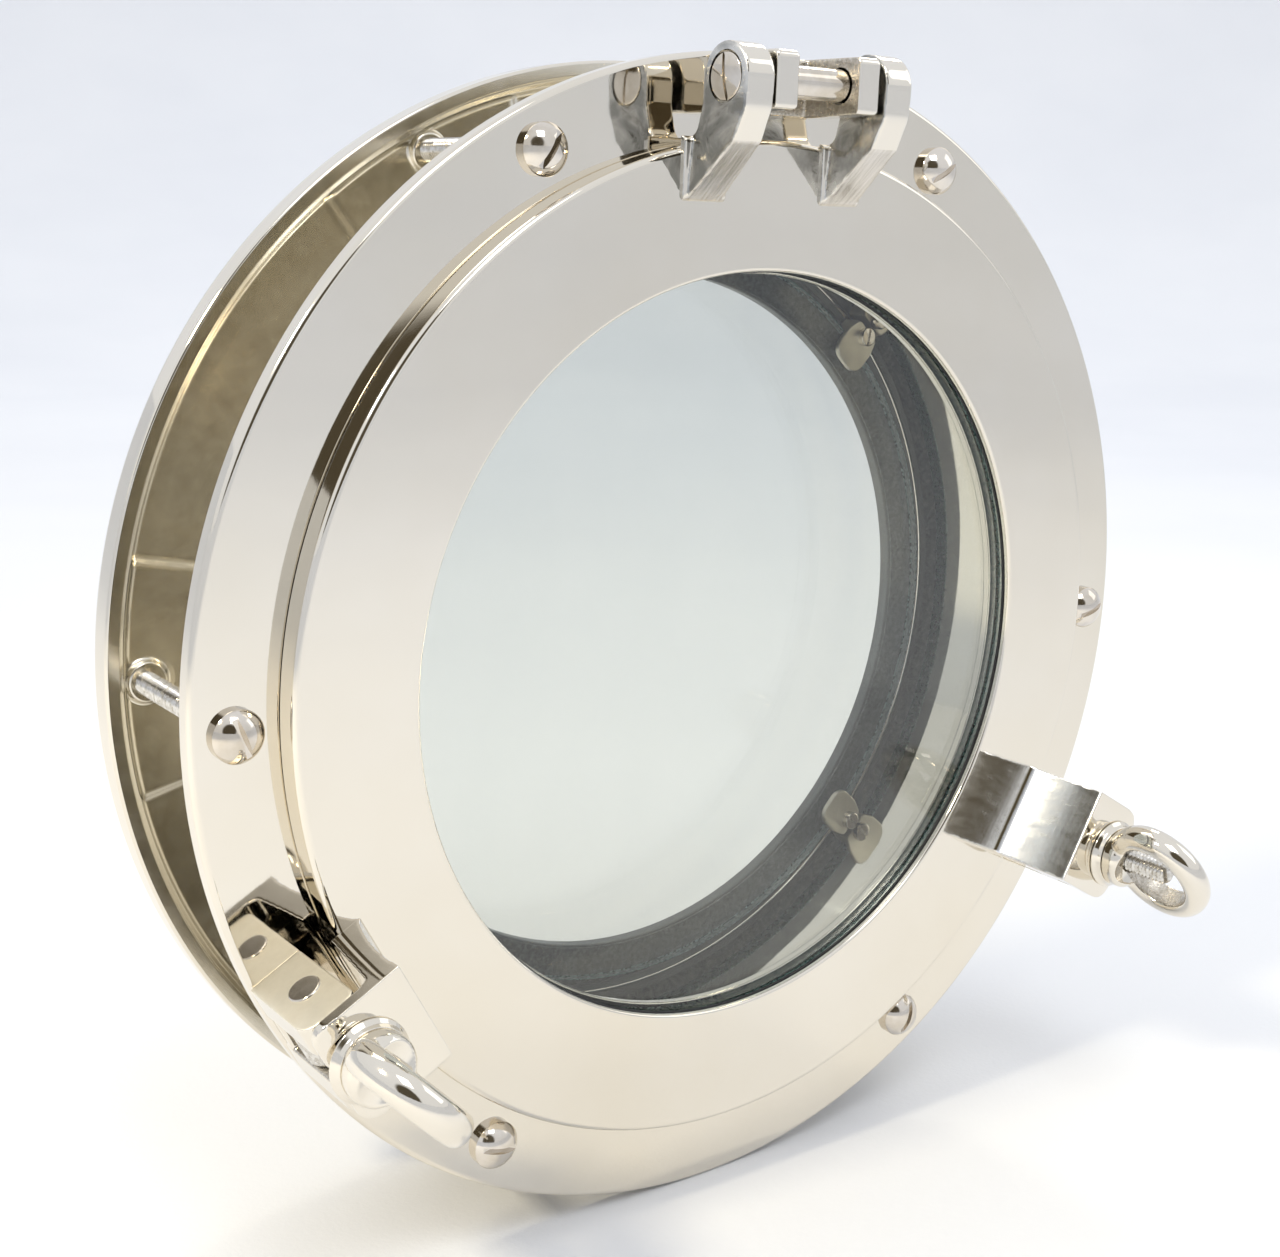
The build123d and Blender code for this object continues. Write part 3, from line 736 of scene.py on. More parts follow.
# ---- frame ---------------------------------------------------------------------------------
def main_frame():
    """Flange, spigot and ledge."""
    body = lathe([
        (SPIGOT_IN_R, -FLANGE_T, 0.5), (SEAL_IN_R - 0.2, -FLANGE_T, 0.2),
        (SEAL_IN_R - 0.2, SEAL_BASE_Y, 0.0), (SEAL_OUT_R, SEAL_BASE_Y, 0.0),
        (SEAL_OUT_R, -FLANGE_T, 0.2), (FLANGE_R, -FLANGE_T, 1.5), (FLANGE_R, 0, 0.5),
        (SPIGOT_OUT_R, 0, 0.8), (SPIGOT_OUT_R, SPIGOT_END_Y, 0.8), (SPIGOT_IN_R, SPIGOT_END_Y, 0.8),
        (SPIGOT_IN_R, LEDGE_BACK_Y, 0.8), (LEDGE_IN_R, LEDGE_BACK_Y, 0.7), (LEDGE_IN_R, LEDGE_Y, 0.7),
        (SPIGOT_IN_R, LEDGE_Y, 1.0)])

    def finish(middle, normal):
        """Stained ledge, satin wall side, and the rest polished."""
        radius = off_axis(middle)
        if radius < SPIGOT_IN_R - 0.6 and LEDGE_Y - 0.5 < middle.y < LEDGE_BACK_Y + 0.5:
            return 1
        return 2 if radius > SPIGOT_IN_R + 1 and -0.1 < middle.y < SPIGOT_END_Y - 1 else 0

    piece("main_frame_casting", painted(body, finish), [NICKEL_MAT, LEDGE_MAT, SATIN_MAT], "frame",
          ["main_frame"])


def rear_ring():
    """Dished clamp ring, its wall side smooth, with low pads and soft bosses at the screws."""
    floor = REAR_BACK_Y - REAR_PLATE_T
    step_r = REAR_RING_R - REAR_RIM_W - 1.5
    body = lathe([
        (REAR_RING_IN_R, WALL_T + 2, 0.5), (REAR_RING_IN_R + 4, WALL_T + 2, 0.5),
        (REAR_RING_IN_R + 4.6, floor, 2.0), (132.0, floor + 0.35, 0.0), (step_r, floor, 2.2),
        (step_r + 0.8, WALL_T + 3, 0.9), (REAR_RING_R - REAR_RIM_W + 0.8, WALL_T + 2.4, 0.6),
        (REAR_RING_R - REAR_RIM_W + 1.2, WALL_T, 0.5), (REAR_RING_R, WALL_T, 0.8),
        (REAR_RING_R, REAR_BACK_Y, 3.2), (REAR_RING_IN_R, REAR_BACK_Y, 1.0)], around=1080)
    for vert in body.verts:
        radius = off_axis(vert.co)
        if vert.co.y < floor - 1.6 or vert.co.y > floor + 1.2 or radius > step_r + 0.4:
            continue
        here = degrees(atan2(vert.co.z, vert.co.x))
        away = min(abs((here - angle + 180) % 360 - 180) for angle in SCREW_ANGLES)
        rise = min(1.0, max(0.0, (PAD_HALF_ANGLE - away) / PAD_EDGE_ANGLE))
        vert.co.y -= PAD_H * rise * rise * (3 - 2 * rise)
    parts = [body]
    for angle in SCREW_ANGLES:
        boss = lathe([(0, WALL_T + 1.6, 0), (4.9, WALL_T + 1.6, 0.9), (5.6, floor - 1.4, 1.6),
                      (8.4, floor - 1.1, 0.0), (8.4, floor + 0.8, 0), (0, floor + 0.8, 0)], around=48)
        parts.append(moved(boss, round_y(angle) @ shift(x=SCREW_CIRCLE_R - 0.6)))
    body = painted(joined(parts), lambda middle, normal: int(
        middle.y < floor + 1.5 and off_axis(middle) < REAR_RING_R - 1.0))
    piece("rear_ring_casting", body, [NICKEL_MAT, SATIN_MAT], "frame",
          ["rear_ring"], sharp=radians(50))


def flange_screws():
    """Six slotted screws with threaded shanks."""
    heads, shanks = [], []
    head = slotted_head(SCREW_HEAD_R, SCREW_HEAD_H, 1.5, 1.9)
    shank = thread(SCREW_R, 0.55, SCREW_PITCH, -0.5, REAR_BACK_Y - 3.0)
    for angle, slot_angle in zip(SCREW_ANGLES, SLOT_ANGLES):
        place = at_screw(angle, SCREW_CIRCLE_R, slot_angle - angle)
        heads.append(moved(head.copy(), place @ shift(y=-FLANGE_T)))
        shanks.append(moved(shank.copy(), place))
    piece("flange_screw_heads", joined(heads), TURNED_MAT, "frame", ["flange_screws"])
    piece("flange_screw_shanks", joined(shanks), THREAD_MAT, "frame",
          weighted=False, sharp=radians(60))


def lid_seal():
    """Rubber ring in the flange's groove."""
    base, crown = SEAL_BASE_Y, SEAL_CROWN_Y
    body = lathe([(SEAL_IN_R + 0.1, base, 0.2), (SEAL_OUT_R - 0.1, base, 0.2),
                  (SEAL_OUT_R - 0.1, crown, 1.2), (SEAL_IN_R + 0.1, crown, 1.2)])
    piece("seal_rubber", body, RUBBER_MAT, "frame", ["lid_seal"])


def rear_pane():
    """Outer pane on its bedding, with the sealant that was squeezed out round it."""
    pane = lathe([(0, PANE_FRONT_Y, 0), (PANE_R, PANE_FRONT_Y, 0.5), (PANE_R, PANE_BACK_Y, 0.5),
                  (0, PANE_BACK_Y, 0)])
    pane = painted(pane, lambda middle, normal: int(off_axis(middle) > PANE_R - 0.6))
    # The pane's glass tint carries painted shade as well as its green body colour.
    piece("rear_pane_glass", pane, [GLASS_TINT_AND_SHADE_MAT, EDGE_MAT], "frame", ["rear_pane"])
    bead = lathe([(LEDGE_IN_R + 0.7, PANE_BACK_Y + 0.05, 0.0), (PANE_R + 0.2, PANE_BACK_Y + 0.05, 0.0),
                  (PANE_R + 0.3, PANE_BACK_Y - 1.6, 0.8), (PANE_R + 2.4, LEDGE_Y - 1.3, 0.8),
                  (PANE_R + 3.6, LEDGE_Y - 0.03, 0.0), (LEDGE_IN_R + 0.7, LEDGE_Y - 0.03, 0.0)],
                 around=720)
    for vert in bead.verts:
        radius = off_axis(vert.co)
        if radius > PANE_R + 0.28 and vert.co.y < LEDGE_Y - 0.1:
            here = degrees(atan2(vert.co.z, vert.co.x))
            messy = max(MESS_MIN, 1.0 - abs(here - MESS_ANGLE) / MESS_SPREAD)
            lump = messy * (noise.noise(vert.co * 0.45) + 0.6 * noise.noise(vert.co * 1.6))
            vert.co.x *= 1 + 0.0055 * lump
            vert.co.z *= 1 + 0.0055 * lump
            vert.co.y -= max(0.0, 0.7 * lump)
    piece("pane_sealant", bead, SEALANT_MAT, "frame", ["pane_bedding"])


def pane_clips():
    """Small plates that hold the pane, each with a slotted screw."""
    plates, heads, shanks = [], [], []
    face = PANE_FRONT_Y
    head = flat_head(2.7, 2.0, 0.8, 0.9)
    shank = thread(1.5, 0.25, 0.5, -1.4, 8.0, around=24)
    outline = [(111.0, -4.6, 1.6), (111.0, 4.6, 1.6), (106.5, 6.1, 3.0), (98.0, 6.1, 5.6),
               (98.0, -6.1, 5.6), (106.5, -6.1, 3.0)]
    for number, angle in enumerate(CLIP_ANGLES):
        tab = plate(counterclockwise(rounded(outline)), 1.7, 0.45)
        plates.append(moved(tab, round_y(angle) @ shift(y=face - 0.85) @ FRONT_VIEW))
        spacer = block(PANE_R + 0.35, 111.1, face - 0.6, LEDGE_Y - 0.02, -4.6, 4.6, 0.5)
        plates.append(moved(spacer, round_y(angle)))
        place = at_screw(angle, CLIP_SCREW_R, 35 + 50 * number, face - 1.7)
        heads.append(moved(head.copy(), place))
        shanks.append(moved(shank.copy(), place))
    piece("pane_clip_plates", joined(plates), BLASTED_MAT, "frame", ["pane_clips"])
    piece("clip_screw_heads", joined(heads), TURNED_MAT, "frame", ["clip_screws"])
    piece("clip_screw_shanks", joined(shanks), THREAD_MAT, "frame", weighted=False)


def hinge_bracket():
    """Base and two lugs, rough as cast on the inner sides."""
    half_w = LUG_IN_X + LUG_T
    outline = [(HINGE_FRONT_Y + 0.1, HINGE_LOW_Z + 0.6, 1.2), (HINGE_FRONT_Y + 0.1, HINGE_HIGH_Z, 1.6),
               (-FLANGE_T, HINGE_HIGH_Z, 0.3), (-FLANGE_T, HINGE_LOW_Z, 0.3),
               (HINGE_BASE_Y - 2, HINGE_LOW_Z, 1.5)]
    parts = []
    for side in (-1, 1):
        lug = prism(counterclockwise(rounded(outline)), LUG_T)
        parts.append(moved(lug, shift(x=side * (LUG_IN_X + LUG_T / 2)) @ SIDE_VIEW))
    parts.append(block(-half_w + 0.5, half_w - 0.5, HINGE_BASE_Y, -FLANGE_T + 0.01, HINGE_LOW_Z + 0.1,
                       HINGE_HIGH_Z - 0.1, 0.5))
    body = remeshed(joined(parts), CASTING_VOXEL, 5)
    bore = drill(PIN_R + 0.45, -40, 40)
    moved(bore, shift(y=PIVOT_Y, z=PIVOT_Z) @ Matrix.Rotation(-pi / 2, 4, "Z"))
    body = boolean(body, bore)

    def finish(middle, normal):
        """Rough between the lugs and on the base, polished elsewhere."""
        inner_side = abs(middle.x) < LUG_IN_X + 0.3 and abs(normal.x) > 0.5
        return int(inner_side or (normal.y < -0.5 and middle.y > HINGE_BASE_Y - 1))

    piece("hinge_bracket_casting", painted(body, finish), [NICKEL_MAT, CAST_MAT], "frame",
          ["hinge_bracket"], weighted=False, sharp=radians(60))


def bracket_screw_places():
    """Centres of the screws that hold the brackets, in the XZ plane."""
    places = [(-HINGE_SCREW_X, HINGE_SCREW_Z), (HINGE_SCREW_X, HINGE_SCREW_Z)]
    for angle in DOG_ANGLES.values():
        for offset in (-DOG_SCREW_OFFSET, DOG_SCREW_OFFSET):
            point = round_y(angle) @ Vector((DOG_R + 1, 0, offset))
            places.append((point.x, point.z))
    return places


def bracket_screws():
    """Countersunk screws in the flange's back."""
    head = sunk_head(4.75, 2.5, 2.6, 1.0, 0.9)
    heads = [moved(head.copy(), shift(x=x, y=0.03, z=z) @ round_y(17 * x))
             for x, z in bracket_screw_places()]
    piece("bracket_screw_heads", joined(heads), TURNED_MAT, "frame", ["bracket_screws"])


def dog_bracket(side, angle):
    """Two soft-edged ears on a base."""
    outline = [(EAR_IN_R, -FLANGE_T, 0.3), (EAR_IN_R, EAR_FRONT_Y, 2.6), (EAR_OUT_R, EAR_FRONT_Y, 4.2),
               (EAR_OUT_R, -FLANGE_T, 0.3)]
    parts = []
    for sign in (-1, 1):
        ear = prism(counterclockwise(rounded(outline)), EAR_HALF_W - EAR_GAP)
        parts.append(moved(ear, shift(z=sign * (EAR_HALF_W + EAR_GAP) / 2)))
    parts.append(block(EAR_IN_R + 0.3, EAR_OUT_R - 0.3, EAR_BASE_Y, -FLANGE_T + 0.01, -EAR_HALF_W + 0.4,
                       EAR_HALF_W - 0.4, 0.5))

    def finish(middle, normal):
        """Rough between the ears, blasted on their outer sides, polished elsewhere."""
        if abs(normal.z) <= 0.5:
            return 0
        return 1 if abs(middle.z) < EAR_GAP + 0.2 else 2

    mesh = painted(remeshed(joined(parts), CASTING_VOXEL, 4), finish)
    moved(mesh, round_y(angle))
    piece(f"dog_bracket_casting_{side}", mesh, [NICKEL_MAT, CAST_MAT, BLASTED_MAT], "frame",
          [f"dog_bracket_{side}"], weighted=False, sharp=pi)


def dog_pin(side, angle):
    """Riveted pin, peened nearly flat at both ends."""
    end = EAR_HALF_W + 0.32
    pin = lathe([(0, -end, 0), (PIN_R - 0.2, -end, 0.5), (PIN_R + 0.25, -end + 0.7, 0.3),
                 (PIN_R + 0.25, end - 0.7, 0.3), (PIN_R - 0.2, end, 0.5), (0, end, 0)], around=48)
    place = round_y(angle) @ shift(x=DOG_R, y=DOG_PIVOT_Y) @ Matrix.Rotation(pi / 2, 4, "X")
    piece(f"dog_pin_rivet_{side}", moved(pin, place), TURNED_MAT, "frame",
          [f"dog_pin_{side}"])


# ---- lid -----------------------------------------------------------------------------------
def arm_outline():
    """Side view of one hinge arm, (y, z)."""
    knuckle = arc(PIVOT_Y, PIVOT_Z, KNUCKLE_R, 180, 0, 20)
    foot = LID_FACE_Y + 1.2
    front = [(foot, 115.6, 0.0), (-13.6, 116.4, 0.6), (-28.4, 129.4, 2.0)]
    back = [(PIVOT_Y + KNUCKLE_R, 139.0, 3.0), (-14.2, 131.6, 5.0), (foot, 130.2, 0.0)]
    return [(PIVOT_Y - KNUCKLE_R + 0.35, PIVOT_Z - 7, 6.0)] + knuckle + back + front


def arm_skin(side):
    """One hinge arm as a soft casting: it widens down its front ramp to a flared foot."""
    arm = prism(counterclockwise(rounded(arm_outline())), ARM_T)
    for vert in arm.verts:
        vert.co.z *= 1.0 + 0.34 * min(1.0, max(0.0, (131.0 - vert.co.y) / 14.0))
    toe = prism([(LID_FACE_Y + 1.2, 114.6), (LID_FACE_Y + 1.2, 131.0), (LID_FACE_Y - 1.0, 130.0),
                 (LID_FACE_Y - 1.0, 116.2)][::-1], ARM_T + 5.0)
    dish = drill(PIN_HEAD_R + 0.5, -3, 3)
    skin = remeshed(joined([arm, toe]), CASTING_VOXEL, 9)
    if side < 0:
        moved(dish, shift(x=PIVOT_Y, y=PIVOT_Z, z=-ARM_T / 2) @ Matrix.Rotation(pi / 2, 4, "X"))
        skin = boolean(skin, dish)
    else:
        dish.free()

    def finish(middle, normal):
        """Brushed down the ramp, filed with painted dark reflection on the sides, polished elsewhere."""
        if normal.y < -0.4 and normal.x < -0.4 and middle.y < 129.5:
            return 1
        return 2 if abs(normal.z) > 0.6 else 0

    return moved(painted(skin, finish), shift(x=side * (ARM_IN_X + ARM_T / 2)) @ SIDE_VIEW)


def lid_ring():
    """Lid ring with its glazing collar and the two hinge arms."""
    body = lathe([
        (LID_OPEN_R, LID_FACE_Y, 1.1), (LID_R, LID_FACE_Y, 1.6), (LID_R, LID_BACK_Y, 0.5),
        (LID_COLLAR_R, LID_BACK_Y, 0.3), (LID_COLLAR_R, LID_COLLAR_BACK_Y, 0.3),
        (GASKET_R, LID_COLLAR_BACK_Y, 0.2), (GASKET_R, LID_FACE_Y + LID_LIP_T, 0.1),
        (LID_OPEN_R, LID_FACE_Y + LID_LIP_T, 0.4)])
    body = joined([body, arm_skin(-1), arm_skin(1)])
    piece("lid_ring_casting", body, [NICKEL_MAT, BRUSHED_MAT, FILED_DARK_REFLECTION_MAT], "lid",
          ["lid_ring"])


def glazing():
    """Lid glass, its gasket, the clamp ring behind it and the ring's screws."""
    glass = lathe([(0, GLASS_FRONT_Y, 0), (GLASS_R, GLASS_FRONT_Y, 0.6), (GLASS_R, GLASS_BACK_Y, 0.6),
                   (0, GLASS_BACK_Y, 0)])
    glass = painted(glass, lambda middle, normal: int(off_axis(middle) > GLASS_R - 0.7))
    # The lid glass's tint carries painted shade as well as its green body colour.
    piece("lid_glass_disc", glass, [GLASS_TINT_AND_SHADE_MAT, EDGE_MAT], "lid", ["lid_glass"])
    lip_y = LID_FACE_Y + LID_LIP_T
    gasket = lathe([
        (LID_OPEN_R - 0.35, lip_y + 0.02, 0.3), (GASKET_R - 0.03, lip_y + 0.02, 0.0),
        (GASKET_R - 0.03, LID_COLLAR_BACK_Y - 0.05, 0.2), (GLASS_R + 0.03, LID_COLLAR_BACK_Y - 0.05, 0.2),
        (GLASS_R + 0.03, GLASS_FRONT_Y - 0.02, 0.0), (LID_OPEN_R - 0.35, GLASS_FRONT_Y - 0.02, 0.3)])
    piece("glass_gasket_rubber", gasket, RUBBER_MAT, "lid", ["glass_gasket"])
    ring = lathe([
        (RETAINER_IN_R, LID_COLLAR_BACK_Y + 0.02, 0.5), (LID_COLLAR_R, LID_COLLAR_BACK_Y + 0.02, 0.4),
        (LID_COLLAR_R, RETAINER_BACK_Y, 0.6), (RETAINER_IN_R, RETAINER_BACK_Y, 1.0)])
    piece("glass_clamp_ring", ring, NICKEL_MAT, "lid", ["glass_retainer"])
    head = sunk_head(2.6, 1.3, 1.5, 0.6, 0.6)
    heads = [moved(head.copy(), at_screw(22.5 + 45 * k, RETAINER_SCREW_R, 31 * k, RETAINER_BACK_Y + 0.04))
             for k in range(RETAINER_SCREWS)]
    piece("clamp_ring_screws", joined(heads), TURNED_MAT, "lid", ["retainer_screws"])


def hinge_pin():
    """Pin with a slotted head in the left arm."""
    outer = ARM_IN_X + ARM_T
    along_x = Matrix.Rotation(-pi / 2, 4, "Z")
    rod = lathe([(0, -outer + 2, 0), (PIN_R - 0.02, -outer + 2, 0), (PIN_R - 0.02, outer - 0.1, 0.5),
                 (0, outer - 0.1, 0)], around=64)
    head = slotted_head(PIN_HEAD_R, 1.3, 0.9, 0.8, cheek=0.7, rim=0.3)
    moved(rod, shift(y=PIVOT_Y, z=PIVOT_Z) @ along_x)
    tilt = Matrix.Rotation(radians(-10), 4, "X")
    face = shift(x=-outer + 0.75, y=PIVOT_Y, z=PIVOT_Z) @ tilt @ along_x @ Matrix.Rotation(pi / 2, 4, "Y")
    moved(head, face)
    piece("hinge_pin_slotted", joined([rod, head]), TURNED_MAT, "lid", ["hinge_pin"])


def lid_lug(side, angle):
    """Slotted lug with a hollowed inner wall."""
    seat_r = DOG_PIVOT_Y - LUG_TOP_Y
    end_r = EAR_OUT_R - 0.1
    seat = []
    for k in range(9):
        r = DOG_R + (end_r - DOG_R) * k / 8
        seat.append((r, DOG_PIVOT_Y - sqrt(seat_r ** 2 - (r - DOG_R) ** 2)))
    chord = Vector((LUG_TOP_R - LUG_BASE_R, LUG_TOP_Y - LID_FACE_Y))
    inward = Vector((-chord.y, chord.x)).normalized()
    wall = []
    for k in range(1, 13):
        t = k / 13
        depth = LUG_COVE * 4 * t * (1 - t)
        wall.append((LUG_BASE_R + chord.x * t + inward.x * depth,
                     LID_FACE_Y + 0.3 + (chord.y - 0.3) * t + inward.y * depth))
    outline = [(LUG_BASE_R - 0.6, LID_FACE_Y + 0.3)] + wall + [(LUG_TOP_R, LUG_TOP_Y)] + seat
    outline += [(end_r, LUG_UNDER_Y), (EAR_IN_R - 1, LUG_UNDER_Y), (LUG_COLUMN_R + 0.4, -32.6),
                (LUG_COLUMN_R, -29.5), (LUG_COLUMN_R - 2, LID_FACE_Y + 0.3)]
    body = prism(counterclockwise(outline), 2 * LUG_HALF_W)
    corner = LUG_CORNERS[side]
    tools = []
    for sign in (-1, 1):
        notch = [(end_r + 3, sign * (LUG_HALF_W + 3)), (end_r + 3, sign * (LUG_HALF_W - corner))]
        bend = arc(end_r - corner, sign * (LUG_HALF_W - corner), corner, 0, sign * 90, 10)
        tail = [(end_r - corner, sign * (LUG_HALF_W + 3))]
        tool = prism(counterclockwise(notch + bend + tail), 60)
        tools.append(moved(tool, shift(y=-30) @ FRONT_VIEW))
    slot = arc(DOG_R, 0, SLOT_HALF_W, 90, 270) + [(170.0, -SLOT_HALF_W), (170.0, SLOT_HALF_W)]
    tools.append(moved(prism(counterclockwise(slot), 16), shift(y=-37) @ FRONT_VIEW))
    for tool in tools:
        body = boolean(body, tool)
    # Faces of the hollow inner wall get the painted bright bluish-white reflection.
    body = painted(remeshed(body, LUG_VOXEL, 5), lambda middle, normal: int(
        normal.x < -0.6 and middle.x < LUG_TOP_R + 1 and middle.y < LID_FACE_Y - 0.6))
    moved(body, round_y(angle))
    piece(f"lid_lug_casting_{side}", body, [NICKEL_MAT, PAINTED_REFLECTION_MAT], "lid",
          [f"lid_lug_{side}"], weighted=False, sharp=pi)


def lug_screws():
    """Countersunk screws of the lugs, in the lid's back."""
    head = sunk_head(3.95, 2.0, 2.2, 0.8, 0.8)
    heads = []
    for angle in DOG_ANGLES.values():
        for offset in (-LUG_SCREW_OFFSET, LUG_SCREW_OFFSET):
            centre = round_y(angle) @ shift(x=LUG_SCREW_R, y=LID_BACK_Y + 0.03, z=offset)
            heads.append(moved(head.copy(), centre @ round_y(40 + offset)))
    piece("lug_screw_heads", joined(heads), TURNED_MAT, "lid", ["lug_screws"])


# ---- dogs ----------------------------------------------------------------------------------
def dog_bolt(side, angle):
    """Swing bolt: forged eye and threaded shank."""
    eye = lathe([(PIN_R + 0.1, -EYE_HALF_W, 0.3), (EYE_R, -EYE_HALF_W, 1.2), (EYE_R, EYE_HALF_W, 1.2),
                 (PIN_R + 0.1, EYE_HALF_W, 0.3)], around=64)
    moved(eye, shift(x=DOG_R, y=DOG_PIVOT_Y) @ Matrix.Rotation(pi / 2, 4, "X"))
    neck_end = DOG_PIVOT_Y - EYE_R + 1
    neck = lathe([(0, neck_end - 6, 0), (BOLT_R - 0.3, neck_end - 6, 0.3), (BOLT_R - 0.05, neck_end + 1, 1),
                  (BOLT_R - 0.05, neck_end + 2.5, 0), (0, neck_end + 2.5, 0)], around=48)
    shank = thread(BOLT_R, 0.62, BOLT_PITCH, BOLT_END_Y, neck_end - 5)
    mesh = joined([eye, moved(neck, shift(x=DOG_R)), moved(shank, shift(x=DOG_R))])
    piece(f"dog_bolt_thread_{side}", moved(mesh, round_y(angle)), THREAD_MAT, f"dog_{side}",
          [f"dog_bolt_{side}"], weighted=False, sharp=radians(60))


def dog_washer(side, angle):
    """Coned collar under the ring nut."""
    collar = lathe([(3.5, SEAT_Y, 0.2), (WASHER_R, SEAT_Y, 0.4), (WASHER_R, SEAT_Y - 0.5, 0.4),
                    (NUT_R + 0.5, SEAT_Y - 1.5, 1.0), (NUT_R + 0.1, SEAT_Y - WASHER_T, 0.25),
                    (3.5, SEAT_Y - WASHER_T, 0.2)], around=96)
    piece(f"dog_collar_{side}", moved(collar, round_y(angle) @ shift(x=DOG_R)), NICKEL_MAT,
          f"collar_{side}", [f"dog_washer_{side}"])


def ring_nut(side, angle):
    """Cast ring nut: short barrel and an eye that is bored straight, in one soft-edged skin."""
    seat = SEAT_Y - WASHER_T - 0.05
    eye_y = seat - NUT_BARREL_T - RING_HOLE_R
    barrel = lathe([(0, seat, 0), (NUT_R, seat, 0.5), (NUT_R, seat - 3.4, 1.5),
                    (NUT_R - 2.6, seat - 6.8, 1.5), (0, seat - 6.8, 0)], around=96)
    bar = [(RING_MID_R + RING_BAR_R * cos(a), RING_BAR_HALF_W * sin(a), 0.0)
           for a in [2 * pi * k / 40 for k in range(40)]]
    eye = moved(lathe(bar, around=160), shift(y=eye_y) @ Matrix.Rotation(pi / 2, 4, "Z"))
    trim = block(-30, 30, seat, seat + 20, -30, 30)
    hole = drill(RING_HOLE_R, -20, 20, around=160)
    moved(hole, shift(y=eye_y) @ Matrix.Rotation(pi / 2, 4, "Z"))
    bore = drill(NUT_BORE_R, seat + 2, eye_y)
    mesh = boolean(boolean(boolean(barrel, eye, "UNION"), hole), trim)
    mesh = remeshed(boolean(mesh, bore), NUT_VOXEL, 7)
    mesh = painted(mesh, lambda middle, normal: int(
        hypot(middle.y - eye_y, middle.z) < RING_HOLE_R + 0.35 and abs(middle.x) < 3.2))
    place = round_y(angle) @ shift(x=DOG_R) @ Matrix.Rotation(radians(RING_TURNS[side]), 4, "Y")
    piece(f"ring_nut_casting_{side}", moved(mesh, place), [NICKEL_MAT, CAST_MAT], f"nut_{side}",
          [f"ring_nut_{side}"], weighted=False, sharp=radians(75))


# ---- stage, light and camera ---------------------------------------------------------------
FLOOR_FLAT_R = 2100.0
FLOOR_BEND_R = 2600.0
FLOOR_BEND_ANGLE = 55
FLOOR_SIDES = 96
SKY_LOW = (0.86, 0.88, 0.92)
SKY_HIGH = (0.93, 0.95, 1.0)
SKY_STRENGTH = 0.99
DIM_SIDE = Vector((-0.50, -0.78, 0.38)).normalized()    # a dark doorway behind the camera
DIM_COLOUR = (0.10, 0.085, 0.06)
DIM_EDGE = (0.89, 0.94)     # cosines, from clear sky to fully dim


def floor():
    """Plain pale studio floor that curves up into its own backdrop all round."""
    low = -FLANGE_R
    mesh = bmesh.new()
    profile = [(FLOOR_FLAT_R * k / 7, low) for k in range(1, 8)]
    profile += [(FLOOR_FLAT_R + FLOOR_BEND_R * sin(radians(a)), low + FLOOR_BEND_R * (1 - cos(radians(a))))
                for a in range(5, FLOOR_BEND_ANGLE + 1, 5)]
    turns = [2 * pi * k / FLOOR_SIDES for k in range(FLOOR_SIDES)]
    rings = []
    for radius, height in profile:
        rings.append([mesh.verts.new((radius * cos(a), radius * sin(a), height)) for a in turns])
    for inner, outer in zip(rings, rings[1:]):
        for k in range(FLOOR_SIDES):
            j = (k + 1) % FLOOR_SIDES
            mesh.faces.new((inner[k], outer[k], outer[j], inner[j]))
    mesh.faces.new(rings[0])
    obj = held(moved(mesh, Matrix.Scale(MM, 4)), "floor")
    obj.data.shade_smooth()
    obj.data.materials.append(pale_floor())


def soft_light(name, place, aim, size, power, colour=(1.0, 1.0, 1.0)):
    """Square softbox that looks at a point."""
    light = bpy.data.lights.new(name, "AREA")
    light.size = size
    light.energy = power
    light.color = colour
    obj = in_scene(name, light)
    obj.location = place
    obj.rotation_euler = (Vector(aim) - Vector(place)).to_track_quat("-Z", "Y").to_euler()


def world():
    """Pale studio all round, slightly blue above, with a dim warm side behind the camera."""
    made = bpy.data.worlds.new("studio")
    bpy.context.scene.world = made
    made.use_nodes = True
    tree = made.node_tree
    add, link = tree.nodes.new, tree.links.new
    place = add("ShaderNodeTexCoord")
    split = add("ShaderNodeSeparateXYZ")
    link(place.outputs["Generated"], split.inputs[0])
    rise = add("ShaderNodeValToRGB")
    rise.color_ramp.elements[0].color = (*SKY_LOW, 1)
    rise.color_ramp.elements[1].position = 0.9
    rise.color_ramp.elements[1].color = (*SKY_HIGH, 1)
    link(split.outputs["Z"], rise.inputs[0])
    dot = add("ShaderNodeVectorMath")
    dot.operation = "DOT_PRODUCT"
    dot.inputs[1].default_value = DIM_SIDE
    link(place.outputs["Generated"], dot.inputs[0])
    cap = add("ShaderNodeMapRange")
    cap.interpolation_type = "SMOOTHSTEP"
    cap.inputs["From Min"].default_value = DIM_EDGE[0]
    cap.inputs["From Max"].default_value = DIM_EDGE[1]
    link(dot.outputs["Value"], cap.inputs["Value"])
    mix = add("ShaderNodeMix")
    mix.data_type = "RGBA"
    mix.inputs["B"].default_value = (*DIM_COLOUR, 1)
    link(cap.outputs["Result"], mix.inputs["Factor"])
    link(rise.outputs["Color"], mix.inputs["A"])
    background = tree.nodes["Background"]
    link(mix.outputs["Result"], background.inputs["Color"])
    background.inputs["Strength"].default_value = SKY_STRENGTH


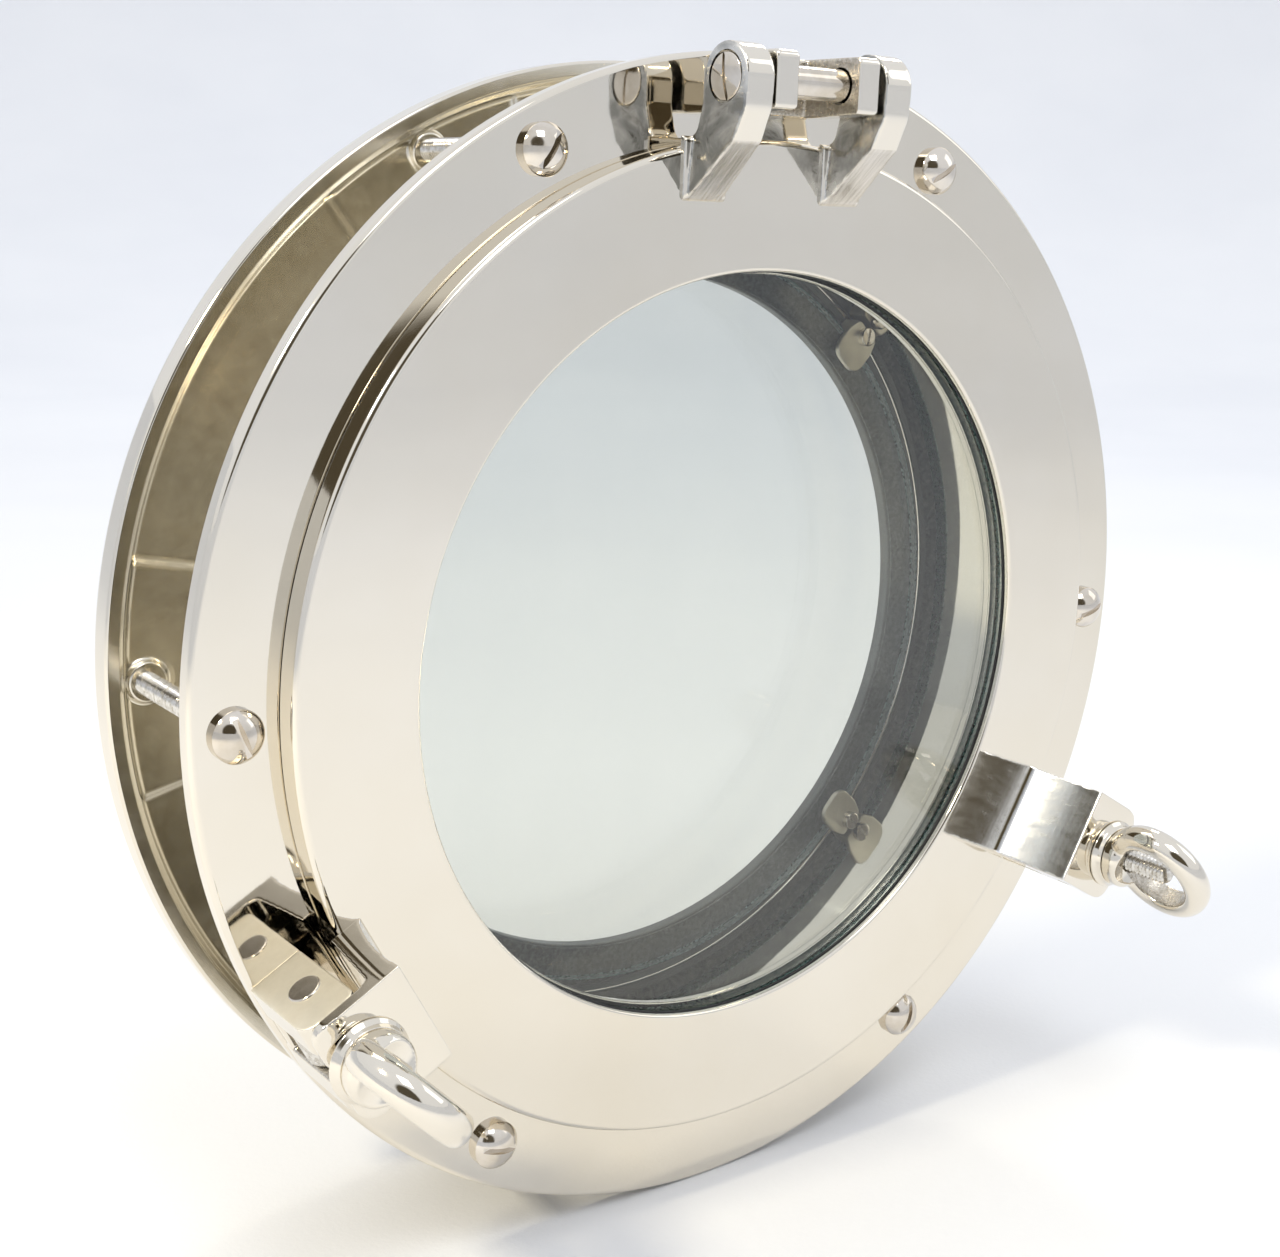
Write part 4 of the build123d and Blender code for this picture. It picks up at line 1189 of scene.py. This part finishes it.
CAMERA_PLACE = Vector((-0.30443, -0.36613, 0.11400))
CAMERA_AZIMUTH = 36.777
CAMERA_DIP = 11.373
CAMERA_ROLL = -2.023
CAMERA_LENS = 51.413
CAMERA_SHIFT = (0.00776, -0.04346)


def camera():
    """Camera close to the object, to its left, a little above it."""
    data = bpy.data.cameras.new("camera")
    data.lens = CAMERA_LENS
    data.sensor_width = 36.0
    data.shift_x, data.shift_y = CAMERA_SHIFT
    data.clip_start = 0.01
    data.clip_end = 60.0
    azimuth, dip = radians(CAMERA_AZIMUTH), radians(CAMERA_DIP)
    ahead = Vector((sin(azimuth) * cos(dip), cos(azimuth) * cos(dip), -sin(dip)))
    right = ahead.cross(Vector((0, 0, 1))).normalized()
    right = Quaternion(ahead, radians(CAMERA_ROLL)) @ right
    up = right.cross(ahead)
    turn = Matrix((right, up, -ahead)).transposed()
    obj = in_scene("camera", data)
    obj.matrix_world = Matrix.Translation(CAMERA_PLACE) @ turn.to_4x4()
    bpy.context.scene.camera = obj


# ---- build ---------------------------------------------------------------------------------
main_frame()
rear_ring()
flange_screws()
lid_seal()
rear_pane()
pane_clips()
hinge_bracket()
bracket_screws()
lid_ring()
glazing()
hinge_pin()
lug_screws()
for side_name, dog_angle in DOG_ANGLES.items():
    dog_bracket(side_name, dog_angle)
    dog_pin(side_name, dog_angle)
    lid_lug(side_name, dog_angle)
    dog_bolt(side_name, dog_angle)
    dog_washer(side_name, dog_angle)
    ring_nut(side_name, dog_angle)

floor()
world()
# Name, place and aim in metres, size in metres, power in watts, and a tint.
soft_light("key", (-0.25, -0.75, 1.3), (0, -0.15, -0.1), 0.6, 4.4)
soft_light("backdrop", (0.9, 1.2, 1.9), (2.2, 2.9, 0.3), 0.8, 13.0, (0.97, 0.98, 1.0))
soft_light("fill", (1.3, -0.6, 0.9), (0, 0, 0), 0.8, 1.5)
soft_light("lamp left", (-0.80, -0.02, 0.72), (-0.1, 0.03, 0.08), 0.16, 7.0, (1.0, 0.88, 0.64))
soft_light("lamp right", (0.8, 0.5, 0.9), (0, 0, 0), 0.2, 2.0, (1.0, 0.92, 0.74))
camera()
bpy.context.scene.view_settings.view_transform = "Standard"

bpy.context.view_layer.update()
